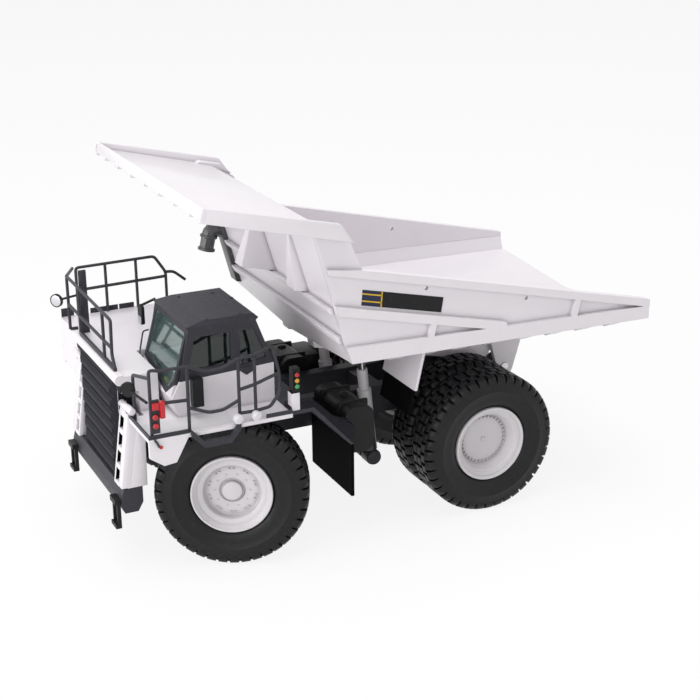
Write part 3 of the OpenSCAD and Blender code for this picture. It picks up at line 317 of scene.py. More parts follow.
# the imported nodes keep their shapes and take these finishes
slotFinish = {"white_paint": "whitePaint", "white_plastic": "whitePlastic", "dark_grey": "darkGrey",
              "black": "black", "tyre": "tyreRubber", "flap_rubber": "flapRubber", "steel": "steel",
              "glass": "screenGlass", "lamp_red": "redLens"}
ownFinish = {"cab_seat": "seatGrey", "lamp_clusters": "darkGrey", "grille": "grilleGrey"}
for hoist in ("hoist_barrel_left", "hoist_barrel_right", "hoist_sleeve_left", "hoist_sleeve_right"):
    ownFinish[hoist] = "hoistWhite"
for part in frame["record"]["subparts"]:
    node = cadNodes[part["node"]]
    finish = ownFinish.get(part["node"], slotFinish[part["material_slot"]])
    node.data.materials.clear()
    node.data.materials.append(finishes[finish])
print("finishes made:", len(finishes))


def newPiece(name, bm, body, finish, place=toFrame, sharp=35):
    bmesh.ops.transform(bm, matrix=place, verts=bm.verts)
    bmesh.ops.recalc_face_normals(bm, faces=bm.faces)
    mesh = bpy.data.meshes.new(name)
    bm.to_mesh(mesh)
    bm.free()
    mesh.materials.append(finishes[finish])
    mesh.shade_smooth()
    mesh.set_sharp_from_angle(angle=math.radians(sharp))
    piece = bpy.data.objects.new(name, mesh)
    bpy.context.scene.collection.objects.link(piece)
    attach(piece, body)
    return piece


def edgesOf(verts):
    # each edge once, in a fixed order
    return list(dict.fromkeys(e for v in verts for e in v.link_edges))


def roundEdges(bm, edges, bevel, segments=2):
    bmesh.ops.bevel(bm, geom=edges, offset=bevel, offset_type="OFFSET", segments=segments, profile=0.5,
                    affect="EDGES", clamp_overlap=True, material=-1)


def addBox(bm, low, high, bevel=0.0, segments=2):
    low, high = Vector(low), Vector(high)
    made = bmesh.ops.create_cube(bm, size=1.0, matrix=Matrix.LocRotScale((low + high) / 2, None, high - low))
    if bevel:
        roundEdges(bm, edgesOf(made["verts"]), bevel, segments)
    return made["verts"]


def addPlate(bm, corners, way, bevel=0.0, segments=2):
    # a flat outline drawn out along way
    face = bm.faces.new([bm.verts.new(corner) for corner in corners])
    grown = bmesh.ops.extrude_face_region(bm, geom=[face])
    top = [v for v in grown["geom"] if isinstance(v, bmesh.types.BMVert)]
    bmesh.ops.translate(bm, vec=way, verts=top)
    if bevel:
        verts = top + [v for v in bm.verts if any(e.other_vert(v) in top for e in v.link_edges)]
        roundEdges(bm, edgesOf(verts), bevel, segments)


def addRod(bm, a, b, radius, tip=None, segments=16):
    a, b = Vector(a), Vector(b)
    way = b - a
    turn = way.to_track_quat("Z", "Y").to_matrix().to_4x4()
    made = bmesh.ops.create_cone(bm, cap_ends=True, segments=segments, radius1=radius,
                                 radius2=radius if tip is None else tip, depth=way.length,
                                 matrix=Matrix.Translation((a + b) / 2) @ turn)
    return made["verts"]


def addTube(bm, points, radius, bend=1.4):
    # a round tube through points, its corners eased
    points = [Vector(p) for p in points]
    path = [points[0]]
    for before, corner, after in zip(points, points[1:], points[2:]):
        reach = min(bend, (corner - before).length * 0.45, (after - corner).length * 0.45)
        start = corner + (before - corner).normalized() * reach
        end = corner + (after - corner).normalized() * reach
        for step in range(5):
            t = step / 4
            path.append(start * (1 - t) ** 2 + corner * 2 * t * (1 - t) + end * t ** 2)
    path.append(points[-1])
    curve = bpy.data.curves.new("tubePath", "CURVE")
    curve.dimensions = "3D"
    curve.bevel_depth = radius
    curve.bevel_resolution = 3
    curve.use_fill_caps = True
    spline = curve.splines.new("POLY")
    spline.points.add(len(path) - 1)
    for point, place in zip(spline.points, path):
        point.co = (*place, 1)
    holder = bpy.data.objects.new("tubePath", curve)
    mesh = bpy.data.meshes.new_from_object(holder)
    bm.from_mesh(mesh)
    bpy.data.objects.remove(holder)
    bpy.data.curves.remove(curve)
    bpy.data.meshes.remove(mesh)


def addTurned(bm, section, steps=96, closed=True):
    # a half section of (radius, distance along Y) turned about the Y axis
    verts = [bm.verts.new((0, y, r)) for r, y in section]
    pairs = list(zip(verts, verts[1:])) + ([(verts[-1], verts[0])] if closed else [])
    edges = [bm.edges.new(pair) for pair in pairs]
    bmesh.ops.spin(bm, geom=verts + edges, cent=(0, 0, 0), axis=(0, 1, 0), dvec=(0, 0, 0), angle=2 * math.pi,
                   steps=steps, use_merge=True, use_normal_flip=False, use_duplicate=False)
    bmesh.ops.remove_doubles(bm, verts=bm.verts, dist=1e-4)


def addDome(bm, place, facing, radius, height):
    # a round lens or cap: a low dome on a short rim, facing along a direction
    rim, steps = 0.35 * height, 4
    section = [(0.0, 0.0), (radius, 0.0), (radius, rim)]
    for step in range(1, steps + 1):
        t = step / steps * math.pi / 2
        section.append((radius * math.cos(t), rim + (height - rim) * math.sin(t)))
    section[-1] = (0.0, height)
    dome = bmesh.new()
    addTurned(dome, section, 24)
    turn = Vector(facing).to_track_quat("Y", "Z").to_matrix().to_4x4()
    bmesh.ops.transform(dome, matrix=Matrix.Translation(place) @ turn, verts=dome.verts)
    mesh = bpy.data.meshes.new("dome")
    dome.to_mesh(mesh)
    dome.free()
    bm.from_mesh(mesh)
    bpy.data.meshes.remove(mesh)


def ringCopies(bm, verts, count, shift=0.0):
    # copies a small shape round the Y axis
    geom = list(verts) + edgesOf(verts) + list(dict.fromkeys(f for v in verts for f in v.link_faces))
    if shift:
        turn = Matrix.Rotation(shift * 2 * math.pi / count, 3, "Y")
        bmesh.ops.rotate(bm, cent=(0, 0, 0), matrix=turn, verts=verts)
    bmesh.ops.spin(bm, geom=geom, cent=(0, 0, 0), axis=(0, 1, 0), dvec=(0, 0, 0),
                   angle=2 * math.pi * (count - 1) / count, steps=count - 1,
                   use_merge=False, use_normal_flip=False, use_duplicate=True)


def nodeMiddle(name):
    low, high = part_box(name)
    return (low + high) / 2


# tyres: a carcass with a ring on each wall, rounded shoulder lugs and three rows of blocks between them
tyre = {
    "lugs": 40,
    "wall": [(14.5, 5.6), (15.05, 5.6), (15.5, 6.3), (16.6, 7.0), (18.6, 7.5), (21.4, 7.74), (21.6, 7.9),
             (21.9, 7.9), (22.1, 7.74), (24.4, 7.66), (25.3, 7.3), (25.9, 6.4), (26.1, 4.6)],
    "shoulder": [(4.9, 24.6), (7.62, 24.6), (7.54, 25.8), (7.2, 26.8), (6.4, 27.6), (5.2, 28.12), (4.9, 28.16)],
    "lugLength": 3.35,
    "rows": [(1.75, 4.5, 0.5), (-1.35, 1.35, 0.0)],  # from, to across the tread, shift in lug pitches
    "foot": 25.4,
    "top": 28.16,
    "bevel": 0.25,
}


def addTyre(bm, middle):
    addTurned(bm, tyre["wall"] + [(r, -y) for r, y in reversed(tyre["wall"])], 120)
    half, count = tyre["lugLength"] / 2, tyre["lugs"]
    for side in (1, -1):
        stagger = 0.0 if side > 0 else 0.5
        before = set(bm.verts)
        addPlate(bm, [(-half, side * y, z) for y, z in tyre["shoulder"]], (2 * half, 0, 0), tyre["bevel"], 1)
        ringCopies(bm, [v for v in bm.verts if v not in before], count, stagger)
        for low, high, shift in tyre["rows"]:
            if low < 0 and side < 0:
                continue
            y0, y1 = sorted((side * low, side * high))
            before = set(bm.verts)
            addBox(bm, (-half, y0, tyre["foot"]), (half, y1, tyre["top"]), tyre["bevel"], 1)
            ringCopies(bm, [v for v in bm.verts if v not in before], count, shift + stagger)
    bmesh.ops.translate(bm, vec=(0, middle, 0), verts=bm.verts)


def wheelPlace(node, side, turn=0.0):
    return (Matrix.Translation(nodeMiddle(node)) @ Matrix.Rotation(math.radians(turn), 4, "Z")
            @ Matrix.Rotation(0.0 if side > 0 else math.pi, 4, "Z") @ Matrix.Scale(mm, 4))


twinMiddle = 8.4  # half the distance between twin tyres
for sideName, side in (("left", 1), ("right", -1)):
    bm = bmesh.new()
    addTyre(bm, 0.0)
    piece = newPiece("tyreFront_" + sideName, bm, "wheel_front_" + sideName, "tyreRubber",
                     wheelPlace("tyre_front_" + sideName, side, truck["steerTurn"]), 40)
    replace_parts(piece, "tyre_front_" + sideName)
    for twin, middle in (("Outer", twinMiddle), ("Inner", -twinMiddle)):
        bm = bmesh.new()
        addTyre(bm, middle)
        piece = newPiece("tyreRear" + twin + "_" + sideName, bm, "wheel_rear_" + sideName, "tyreRubber",
                         wheelPlace("tyres_rear_" + sideName, side), 40)
        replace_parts(piece, "tyres_rear_" + sideName)
print("tyres made")

# rims: spun dishes with their bolts
frontRim = {
    "section": [(0, 3.5), (3.1, 3.5), (3.5, 3.35), (3.7, 3.0), (3.75, 1.9), (4.6, 1.9), (4.75, 2.3), (5.0, 2.4),
                (9.9, 2.2), (10.2, 2.4), (10.7, 4.4), (11.2, 4.8), (12.6, 5.0), (12.9, 5.4), (13.3, 5.9),
                (13.9, 6.3), (14.2, 6.85), (14.55, 7.0), (14.9, 6.9), (15.0, 6.6), (15.0, 5.66), (14.44, 5.66),
                (14.44, -5.6), (12.95, -5.6), (12.0, 1.4), (5.5, 1.2), (5.5, -3.0), (2.56, -3.0), (2.56, 1.8),
                (0, 1.8)],
    "pairs": 10, "boltRing": 8.6, "bolt": 0.33, "pairGap": 0.75, "seat": 2.1, "boltHeight": 0.8,
    "innerBolts": 10, "innerRing": 6.4, "innerHeight": 0.5,
}
rearRim = {
    "section": [(0, 1.5), (0.55, 1.5), (0.85, 1.3), (0.9, 1.02), (9.9, 1.0), (10.15, 1.2), (11.6, 4.6),
                (12.2, 5.0), (12.5, 5.6), (13.1, 5.85), (13.6, 6.0), (13.75, 6.7), (14.3, 7.0), (14.8, 6.95),
                (15.0, 6.6), (15.0, 5.66), (14.44, 5.66), (14.44, -22.4), (12.95, -22.4), (12.95, -17.9),
                (7.0, -17.9),
                (7.0, -16.8), (2.56, -16.8), (2.56, -1.6), (0, -1.6)],
    "bolts": 34, "boltRing": 9.25, "bolt": 0.42, "seat": 0.9, "boltHeight": 0.9,
}


def addBoltRing(bm, radius, bolt, base, height, count, shift=0.0):
    before = set(bm.verts)
    addRod(bm, (0, base, radius), (0, base + height, radius), bolt, bolt * 0.8, 6)
    ringCopies(bm, [v for v in bm.verts if v not in before], count, shift)


for sideName, side in (("left", 1), ("right", -1)):
    bm = bmesh.new()
    addTurned(bm, frontRim["section"])
    for offset in (-frontRim["pairGap"], frontRim["pairGap"]):
        share = math.degrees(offset / frontRim["boltRing"]) / (360 / frontRim["pairs"])
        addBoltRing(bm, frontRim["boltRing"], frontRim["bolt"], frontRim["seat"], frontRim["boltHeight"],
                    frontRim["pairs"], share)
    addBoltRing(bm, frontRim["innerRing"], frontRim["bolt"], frontRim["seat"], frontRim["innerHeight"],
                frontRim["innerBolts"], 0.5)
    piece = newPiece("rimFront_" + sideName, bm, "wheel_front_" + sideName, "whitePlastic",
                     wheelPlace("tyre_front_" + sideName, side, truck["steerTurn"]), 32)
    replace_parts(piece, "rim_front_" + sideName)
    bm = bmesh.new()
    addTurned(bm, rearRim["section"])
    addBoltRing(bm, rearRim["boltRing"], rearRim["bolt"], rearRim["seat"], rearRim["boltHeight"],
                rearRim["bolts"])
    bmesh.ops.translate(bm, vec=(0, twinMiddle, 0), verts=bm.verts)
    piece = newPiece("rimsRear_" + sideName, bm, "wheel_rear_" + sideName, "whitePlastic",
                     wheelPlace("tyres_rear_" + sideName, side), 32)
    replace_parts(piece, "rims_rear_" + sideName)
print("rims made")

# handrails: bent round tube on the same lines as the solids
handrail = {
    "tube": 0.62, "thin": 0.52, "axleX": 99.0, "leftY": 53.8, "rightY": -53.8, "frontX": 139.5,
    "leftZ": 58.5, "rightZ": 70.0, "hoodZ": 72.5,
    "left": [  # forward from the front axle, up from the deck
        [(38, 0), (38, 25), (34, 24.1), (24.5, 24.1), (17, 21), (11.8, 21.2), (5.8, 23.8), (-0.3, 24.1),
         (-7.2, 26.5), (-9.6, 16), (-9.6, 8.5), (-6, 3.8), (-0.3, 3.2), (5.8, 3.4)],
        [(24.5, 9), (17, 5.8), (11.8, 5.8), (5.8, 8.4)],
        [(38, 12.6), (24.5, 11.8)],
        [(5.8, 12.2), (-0.3, 13.2), (-9.6, 16)],
        [(24.4, 0), (24.4, 23.8)], [(5.7, 0), (5.7, 23.8)], [(-0.4, 0), (-0.4, 23.8)]],
    "leftEnd": [(137, 53.8, 80.5), (137, 35, 75.5), (137, 35, 58.5)],
    "right": [
        [(32.4, 0), (32.4, 20), (-0.4, 20.4), (-5, 13.2), (-5, 0)],
        [(32.4, 10.6), (-5, 11.4)],
        [(-5, 13.2), (-8.4, 12.9), (-13.3, 8.7)],
        [(20.3, 0), (20.3, 20.2)], [(7.5, 0), (7.5, 20.2)]],
    "front": [  # across, up from the hood
        [(22.5, 1.5), (19.5, 6), (20.5, 19.2), (-37, 19.8), (-37, -1.75)],
        [(19.7, 8.4), (-37, 8.4)],
        [(10, 1.5), (10, 19.4)], [(-21.3, 1.5), (-21.3, 19.4)]],
    "frontEnds": [[(139.5, -37, 70.75), (136.5, -37, 70.75)], [(139.5, -37, 92.3), (132.7, -53.8, 90)]],
    "sill": ((138.9, -22, 73.1), (140.1, 23, 74.7)), "board": ((135, -25.6, 72.5), (138, -24.6, 97.5)),
    "boardArm": [(139.5, -21.3, 82.5), (138, -25.1, 82.5)],
}
tube = handrail["tube"]


def sideRail(bm, points, y, deckZ):
    addTube(bm, [(handrail["axleX"] + x, y, deckZ + z) for x, z in points], tube)


bm = bmesh.new()
for points in handrail["left"]:
    sideRail(bm, points, handrail["leftY"], handrail["leftZ"])
addTube(bm, handrail["leftEnd"], tube)
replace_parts(newPiece("handrailLeft", bm, "chassis", "darkGrey"), "handrail_left")
bm = bmesh.new()
for points in handrail["right"]:
    sideRail(bm, points, handrail["rightY"], handrail["rightZ"])
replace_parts(newPiece("handrailRight", bm, "chassis", "darkGrey"), "handrail_right")
bm = bmesh.new()
addBox(bm, *handrail["sill"], 0.25)
for points in handrail["front"]:
    addTube(bm, [(handrail["frontX"], y, handrail["hoodZ"] + z) for y, z in points], tube)
for points in handrail["frontEnds"]:
    addTube(bm, points, tube)
addBox(bm, *handrail["board"], 0.2)
addTube(bm, handrail["boardArm"], handrail["thin"])
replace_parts(newPiece("handrailFront", bm, "chassis", "darkGrey"), "handrail_front")
print("handrails made")

# ladder columns: white posts with toe holes in their leaning fronts, painted shade inside the holes, and a
# round bar across the top
column = {"foot": 31.0, "top": 60.0, "front": 143.0, "lean": 0.1402, "inner": 23.0, "outer": 32.0,
          "wall": 2.4, "back": [(132.6, 56.5), (133.0, 31.0)],
          "holeY": (24.4, 28.0), "holes": [34.7, 41.35, 48.0, 54.65],
          "holeHalf": 2.4, "bevel": 0.45, "bar": 1.35, "barX": 138.3, "barY": (23.6, 36.5),
          "barZ": (61.3, 62.1), "topX": 136.0,
          "studs": [  # x, y, from z, to z, radius, tip
              (138.3, 31.5, 60.2, 60.9, 0.9, 0.7), (137.2, 29.4, 60.5, 64.6, 0.95, 0.8)],
          "cheek": [(133.0, 58.6), (139.3, 58.6), (139.3, 66.2), (133.0, 66.2)],
          "cheekY": 22.92, "cheekT": 0.25,
          "brow": [(22.6, 66.3), (27.6, 66.3), (27.9, 68.9), (22.6, 68.9)], "browX": 139.32, "browT": 0.5}


def columnFront(z):
    return column["front"] - column["lean"] * (z - column["foot"])


def addColumnStrip(bm, side, across, up, inset, depth, bevel=0.0):
    rows = [(columnFront(up[0]) - inset, up[0]), (columnFront(up[1]) - inset, up[1]),
            (columnFront(up[1]) - depth, up[1]), (columnFront(up[0]) - depth, up[0])]
    addPlate(bm, [(x, side * across[0], z) for x, z in rows], (0, side * (across[1] - across[0]), 0), bevel)


for sideName, side in (("left", 1), ("right", -1)):
    foot, top, wall, bevel = (column[key] for key in ("foot", "top", "wall", "bevel"))
    inner, outer, (near, far) = column["inner"], column["outer"], column["holeY"]
    bm = bmesh.new()
    core = [(columnFront(foot) - wall, foot), (columnFront(top) - wall, top), (column["topX"], top)]
    core += column["back"]
    addPlate(bm, [(x, side * (inner + 0.05), z) for x, z in core], (0, side * (outer - inner - 0.1), 0), 0.4)
    addColumnStrip(bm, side, (inner, near), (foot, top), 0.0, wall + 0.3, bevel)
    addColumnStrip(bm, side, (far, outer), (foot, top), 0.0, wall + 1.6, 0.8)
    rung = foot
    for hole in column["holes"] + [top + column["holeHalf"]]:
        reach = (rung, hole - column["holeHalf"])
        addColumnStrip(bm, side, (near - 0.5, far + 0.9), reach, 0.04, wall + 0.3, 0.3)
        rung = hole + column["holeHalf"]
    ends = [(column["barX"], side * y, z) for y, z in zip(column["barY"], column["barZ"])]
    bar = addRod(bm, *ends, column["bar"], None, 20)
    roundEdges(bm, [e for e in edgesOf(bar) if e.calc_length() < 0.6], 0.5, 2)
    piece = newPiece("ladderColumn_" + sideName, bm, "chassis", "whitePaint")
    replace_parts(piece, "ladder_columns")
    # painted shade: a dark backing plate behind the toe holes and dark liners on their inner sides stand for
    # the shade inside the deep holes; the dark studs on top share this piece
    bm = bmesh.new()
    addColumnStrip(bm, side, (near - 0.4, far + 0.4), (foot + 0.5, top - 3), wall - 0.12, wall + 0.2)
    for hole in column["holes"]:
        reach = (hole - column["holeHalf"] + 0.1, hole + column["holeHalf"] - 0.1)
        addColumnStrip(bm, side, (near - 0.05, near + 0.1), reach, 0.2, wall)
    for x, y, z0, z1, wide, tip in column["studs"]:
        addRod(bm, (x, side * y, z0), (x, side * y, z1), wide, tip)
    newPiece("toeHoleShadeAndStuds_" + sideName, bm, "chassis", "flapRubber")
    bm = bmesh.new()
    addPlate(bm, [(x, side * column["cheekY"], z) for x, z in column["cheek"]], (0, side * column["cheekT"], 0))
    addPlate(bm, [(column["browX"], side * y, z) for y, z in column["brow"]], (column["browT"], 0, 0), 0.15)
    newPiece("grilleCheek_" + sideName, bm, "chassis", "grilleGrey")
print("ladder columns made")

# cab glass: a pale screen with a tinted edge, smoked side and rear panes
glazing = {
    "screen": [(33.0, 67.5), (37.1, 71.9), (37.1, 88.7), (6.9, 88.7), (6.9, 72.7)],
    "screenX": 124.4, "screenZ": 65.5, "screenLean": 0.29032, "thick": 0.4,
    "edge": 0.9, "edgeLift": 0.06, "edgeT": 0.12,
    "door": [(102.0, 75.7), (118.2, 75.5), (115.4, 87.3), (102.0, 87.3)],
    "quarter": [(98.5, 74.1), (98.5, 87.3), (92.8, 87.3), (88.6, 75.9)],
    "sides": [39.2, 4.4],
    "rear": [(6.9, 76.7), (37.1, 76.7), (37.1, 88.3), (6.9, 88.3)],
    "rearX": 86.0, "rearZ": 73.3, "rearLean": 0.37647,
}


def onScreen(y, z, out=0.0):
    return (glazing["screenX"] - glazing["screenLean"] * (z - glazing["screenZ"]) + out, y, z)


thick = glazing["thick"]
bm = bmesh.new()
addPlate(bm, [onScreen(y, z) for y, z in glazing["screen"]], (-thick, 0, 0))
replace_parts(newPiece("windscreen", bm, "chassis", "screenGlass"), "cab_glass")
bm = bmesh.new()
face = bm.faces.new([bm.verts.new(onScreen(y, z, glazing["edgeLift"])) for y, z in glazing["screen"]])
bmesh.ops.inset_region(bm, faces=[face], thickness=glazing["edge"], depth=0.0,
                       use_boundary=True, use_even_offset=True)
bmesh.ops.delete(bm, geom=[face], context="FACES")
bmesh.ops.solidify(bm, geom=list(bm.faces), thickness=glazing["edgeT"])
newPiece("windscreenEdge", bm, "chassis", "glassEdge")
bm = bmesh.new()
for y in glazing["sides"]:
    for pane in (glazing["door"], glazing["quarter"]):
        addPlate(bm, [(x, y, z) for x, z in pane], (0, thick, 0))
rearPane = [(glazing["rearX"] + glazing["rearLean"] * (z - glazing["rearZ"]), y, z) for y, z in glazing["rear"]]
addPlate(bm, rearPane, (thick, 0, 0))
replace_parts(newPiece("sidePanes", bm, "chassis", "sideGlass"), "cab_glass")
print("cab glass made")

# cab trim: wipers, grab bar, bracket, roof nubs, side plate and knob
cabTrim = {
    "wipers": [((9.8, 73.5), (24.3, 71.3)), ((14.0, 74.0), (22.1, 70.4))],
    "grabBar": [(120.3, 79.8), (122.5, 79.6), (124.5, 70.4), (122.9, 69.6)],
    "bracket": [(125.0, 66.4), (122.7, 63.8), (123.0, 67.4)],
    "trimY": 3.2, "sideY": 40.02, "wiper": 0.22, "wiperLift": 0.35, "bar": 0.3,
    "nubs": [(110.0, 38.0), (97.0, 38.0), (97.3, 10.3), (93.2, 19.0), (110.0, 9.0)],
    "roof": 92.3,
    "sidePlate": [(99.1, 72.4), (96.3, 70.2), (92.4, 72.1), (93.0, 73.2), (98.6, 73.2)],
    "knob": (96.5, 39.9, 75.3),
    "box": ((121.6, 26.6, 66.8), (122.8, 29.2, 69.6)),
}
bm = bmesh.new()
for a, b in cabTrim["wipers"]:
    addTube(bm, [onScreen(*end, cabTrim["wiperLift"]) for end in (a, b)], cabTrim["wiper"])
    addRod(bm, onScreen(*b, 0.1), onScreen(*b, 0.75), 0.5, 0.4)
addTube(bm, [(x, cabTrim["trimY"], z) for x, z in cabTrim["grabBar"]], cabTrim["bar"], 0.9)
addTube(bm, [(x, cabTrim["trimY"], z) for x, z in cabTrim["bracket"]], cabTrim["bar"], 0.5)
for x, y in cabTrim["nubs"]:
    addDome(bm, (x, y, cabTrim["roof"]), (0, 0, 1), 0.9, 0.8)
addPlate(bm, [(x, cabTrim["sideY"], z) for x, z in cabTrim["sidePlate"]], (0, 0.3, 0), 0.1)
addDome(bm, cabTrim["knob"], (0, 1, 0), 1.0, 0.9)
newPiece("cabTrim", bm, "chassis", "darkGrey")
bm = bmesh.new()
addBox(bm, *cabTrim["box"], 0.3)
newPiece("cabBox", bm, "chassis", "yellow")
print("cab trim made")

# lamps: red corner lamps, the load signal's three lenses, work lamps with lenses
lamp = {
    "cluster": ((132.9, 55.2, 66.6), (134.7, 57.55, 72.7)), "arm": ((134.5, 56.0, 69.8), (137.3, 57.0, 72.4)),
    "lensX": 136.3, "lensZ": [67.2, 64.0], "lensY": 56.45, "lensR": 1.05,
    "post": ((81.2, 49.3, 58.5), (84.5, 53.1, 65.3)),
    "signal": [(72.2, "redLens"), (70.0, "amberLens"), (67.8, "greenLens")],
    "signalX": 82.4, "signalY": 53.3, "signalR": 0.85,
    "work": [99.2, 106.0], "workY": (54.7, 56.7), "workZ": 60.7, "workR": 1.7,
    "footY": (54.0, 55.2), "footZ": 58.4, "footHalf": 0.7,
}
bm = bmesh.new()
for side in (1, -1):
    for low, high in (lamp["cluster"], lamp["arm"]):
        y0, y1 = sorted((side * low[1], side * high[1]))
        addBox(bm, (low[0], y0, low[2]), (high[0], y1, high[2]), 0.3)
    for z in lamp["lensZ"]:
        addDome(bm, (lamp["lensX"], side * lamp["lensY"], z), (0, side, 0), lamp["lensR"], 0.75)
newPiece("cornerLenses", bm, "chassis", "redLens")
bm = bmesh.new()
addBox(bm, *lamp["post"], 0.35)
newPiece("signalPost", bm, "chassis", "whitePaint")
for z, finish in lamp["signal"]:
    bm = bmesh.new()
    addDome(bm, (lamp["signalX"], lamp["signalY"], z), (0, 1, 0), lamp["signalR"], 0.6)
    newPiece("signalLens_" + finish, bm, "chassis", finish)
bm = bmesh.new()
for x in lamp["work"]:
    body = addRod(bm, *[(x, y, lamp["workZ"]) for y in lamp["workY"]], lamp["workR"], None, 28)
    roundEdges(bm, edgesOf(body), 0.25, 2)
    half, (y0, y1) = lamp["footHalf"], lamp["footY"]
    addBox(bm, (x - half, y0, lamp["footZ"]), (x + half, y1, lamp["workZ"]), 0.2)
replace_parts(newPiece("workLamps", bm, "chassis", "whitePaint"), "work_lamps")
bm = bmesh.new()
for x in lamp["work"]:
    addDome(bm, (x, lamp["workY"][1] - 0.05, lamp["workZ"]), (0, 1, 0), lamp["workR"] * 0.72, 0.4)
newPiece("workLenses", bm, "chassis", "mirrorSilver")
print("lamps made")

# mirror glass, fender hook and reflector
mirror = {"round": (140.0, -53.8, 77.6), "turn": 40.0, "r": 2.35, "offset": 0.5,
          "small": ((123.0, 0.3, 82.3), (123.25, 3.7, 85.2)),
          "hook": [(136.6, 55.3, 58.4), (135.6, 55.6, 56.8), (135.2, 55.4, 55.6)],
          "reflector": (134.4, 55.0, 55.2)}
facing = Vector((math.cos(math.radians(mirror["turn"])), math.sin(math.radians(mirror["turn"])), 0))
bm = bmesh.new()
addDome(bm, Vector(mirror["round"]) + facing * mirror["offset"], facing, mirror["r"], 0.2)
addBox(bm, *mirror["small"], 0.1)
newPiece("mirrorGlass", bm, "chassis", "mirrorSilver")
bm = bmesh.new()
addTube(bm, mirror["hook"], 0.4, 0.6)
newPiece("fenderHook", bm, "chassis", "darkGrey")
bm = bmesh.new()
addDome(bm, mirror["reflector"], (0, 1, 0), 0.7, 0.45)
newPiece("fenderReflector", bm, "chassis", "redLens")
print("mirrors made")

# bed front: leaning wall with two box beams and two wedge gussets, in bed coordinates from the hinge
bedFront = {"foot": (93.1, 8.45), "lean": 0.5287, "half": 54.1, "dip": 4.2, "top": 54.6, "thick": 2.0,
            "beams": [(14.0, 17.6), (24.6, 27.7)], "beamOut": 2.4, "beamY": (-46.8, 54.1),
            "gussets": [(-0.4, 118.0, 115.0), (30.0, 109.4, 113.6)],  # across, front foot, tip
            "gussetFoot": 27.6, "gussetTop": 43.0, "gussetEnd": 52.0, "gussetHalf": 3.6, "gussetTip": 0.7,
            "bevel": 0.3}


def wallX(z):
    return bedFront["foot"][0] + (z - bedFront["foot"][1]) * bedFront["lean"]


def addHull(bm, points, bevel):
    verts = [bm.verts.new(point) for point in points]
    bmesh.ops.convex_hull(bm, input=verts)
    edges = edgesOf(v for v in verts if v.is_valid)
    roundEdges(bm, [e for e in edges if len(e.link_faces) == 2 and e.calc_face_angle() > 0.3], bevel, 2)


bm = bmesh.new()
half, low, high = bedFront["half"], bedFront["foot"][1], bedFront["top"]
outline = [(-half, low), (0, low - bedFront["dip"]), (half, low), (half, high), (-half, high)]
addPlate(bm, [(wallX(z), y, z) for y, z in outline], (-bedFront["thick"], 0, 0))
for z0, z1 in bedFront["beams"]:
    y0, y1 = bedFront["beamY"]
    out = bedFront["beamOut"]
    section = [(wallX(z0) - 0.1, z0), (wallX(z0) + out, z0 + 0.6), (wallX(z1) + out, z1 - 0.6),
               (wallX(z1) - 0.1, z1)]
    addPlate(bm, [(x, y0, z) for x, z in section], (0, y1 - y0, 0), bedFront["bevel"])
for middle, front, tip in bedFront["gussets"]:
    foot, top, end = (bedFront[key] for key in ("gussetFoot", "gussetTop", "gussetEnd"))
    wide, slim = bedFront["gussetHalf"], bedFront["gussetTip"]
    points = [(x, middle + s * wide, foot) for x in (wallX(foot) - 0.2, front) for s in (1, -1)]
    points += [(x, middle + s * slim, top) for x in (wallX(top) - 0.2, tip) for s in (1, -1)]
    points += [(wallX(end) - 0.2, middle + s * slim, end) for s in (1, -1)]
    addHull(bm, points, bedFront["bevel"])
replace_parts(newPiece("bedFrontWall", bm, "bed", "whitePaint", bedToFrame), "bed_front_wall")

# canopy: a shallow tray with raised sides and front, ribs under it
canopy = {"half": 60.0, "rim": 2.2,
          "side": [(103.0, 52.7), (109.5, 58.6), (160.95, 58.6), (160.95, 53.4), (105.0, 52.7)],
          "corner": [(104.0, 53.5), (109.6, 56.9), (118.8, 56.9), (120.4, 55.4), (112.0, 54.8), (109.6, 54.6)],
          "cornerY": 54.0,
          "plate": [(111.2, 53.2), (111.6, 54.6), (113.5, 55.7), (159.5, 56.4), (159.5, 55.2), (114.0, 54.7),
                    (112.4, 53.2)],
          "front": [(158.9, 54.5), (158.9, 57.6), (160.2, 58.6), (160.95, 58.0), (160.95, 54.3)],
          "ribs": [-48, -32, -16, 0, 16, 32, 48], "ribHalf": 1.5, "ribX": (122.2, 160.9), "ribZ": (53.3, 55.3),
          "bevel": 0.35}
bm = bmesh.new()
for side in (1, -1):
    inner, outer = canopy["half"] - canopy["rim"], canopy["half"]
    addPlate(bm, [(x, side * inner, z) for x, z in canopy["side"]], (0, side * (outer - inner), 0),
             canopy["bevel"])
    addPlate(bm, [(x, side * canopy["cornerY"], z) for x, z in canopy["corner"]],
             (0, side * (inner - canopy["cornerY"] + 0.5), 0), 0.2)
inner = canopy["half"] - canopy["rim"] + 0.1
addPlate(bm, [(x, -inner, z) for x, z in canopy["plate"]], (0, 2 * inner, 0), 0.25)
front = [(x, -canopy["half"] + 0.02, z) for x, z in canopy["front"]]
addPlate(bm, front, (0, 2 * canopy["half"] - 0.04, 0), canopy["bevel"])
for y in canopy["ribs"]:
    (x0, x1), (z0, z1) = canopy["ribX"], canopy["ribZ"]
    addBox(bm, (x0, y - canopy["ribHalf"], z0), (x1, y + canopy["ribHalf"], z1), 0.4)
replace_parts(newPiece("canopyTray", bm, "bed", "whitePaint", bedToFrame), "bed_canopy")

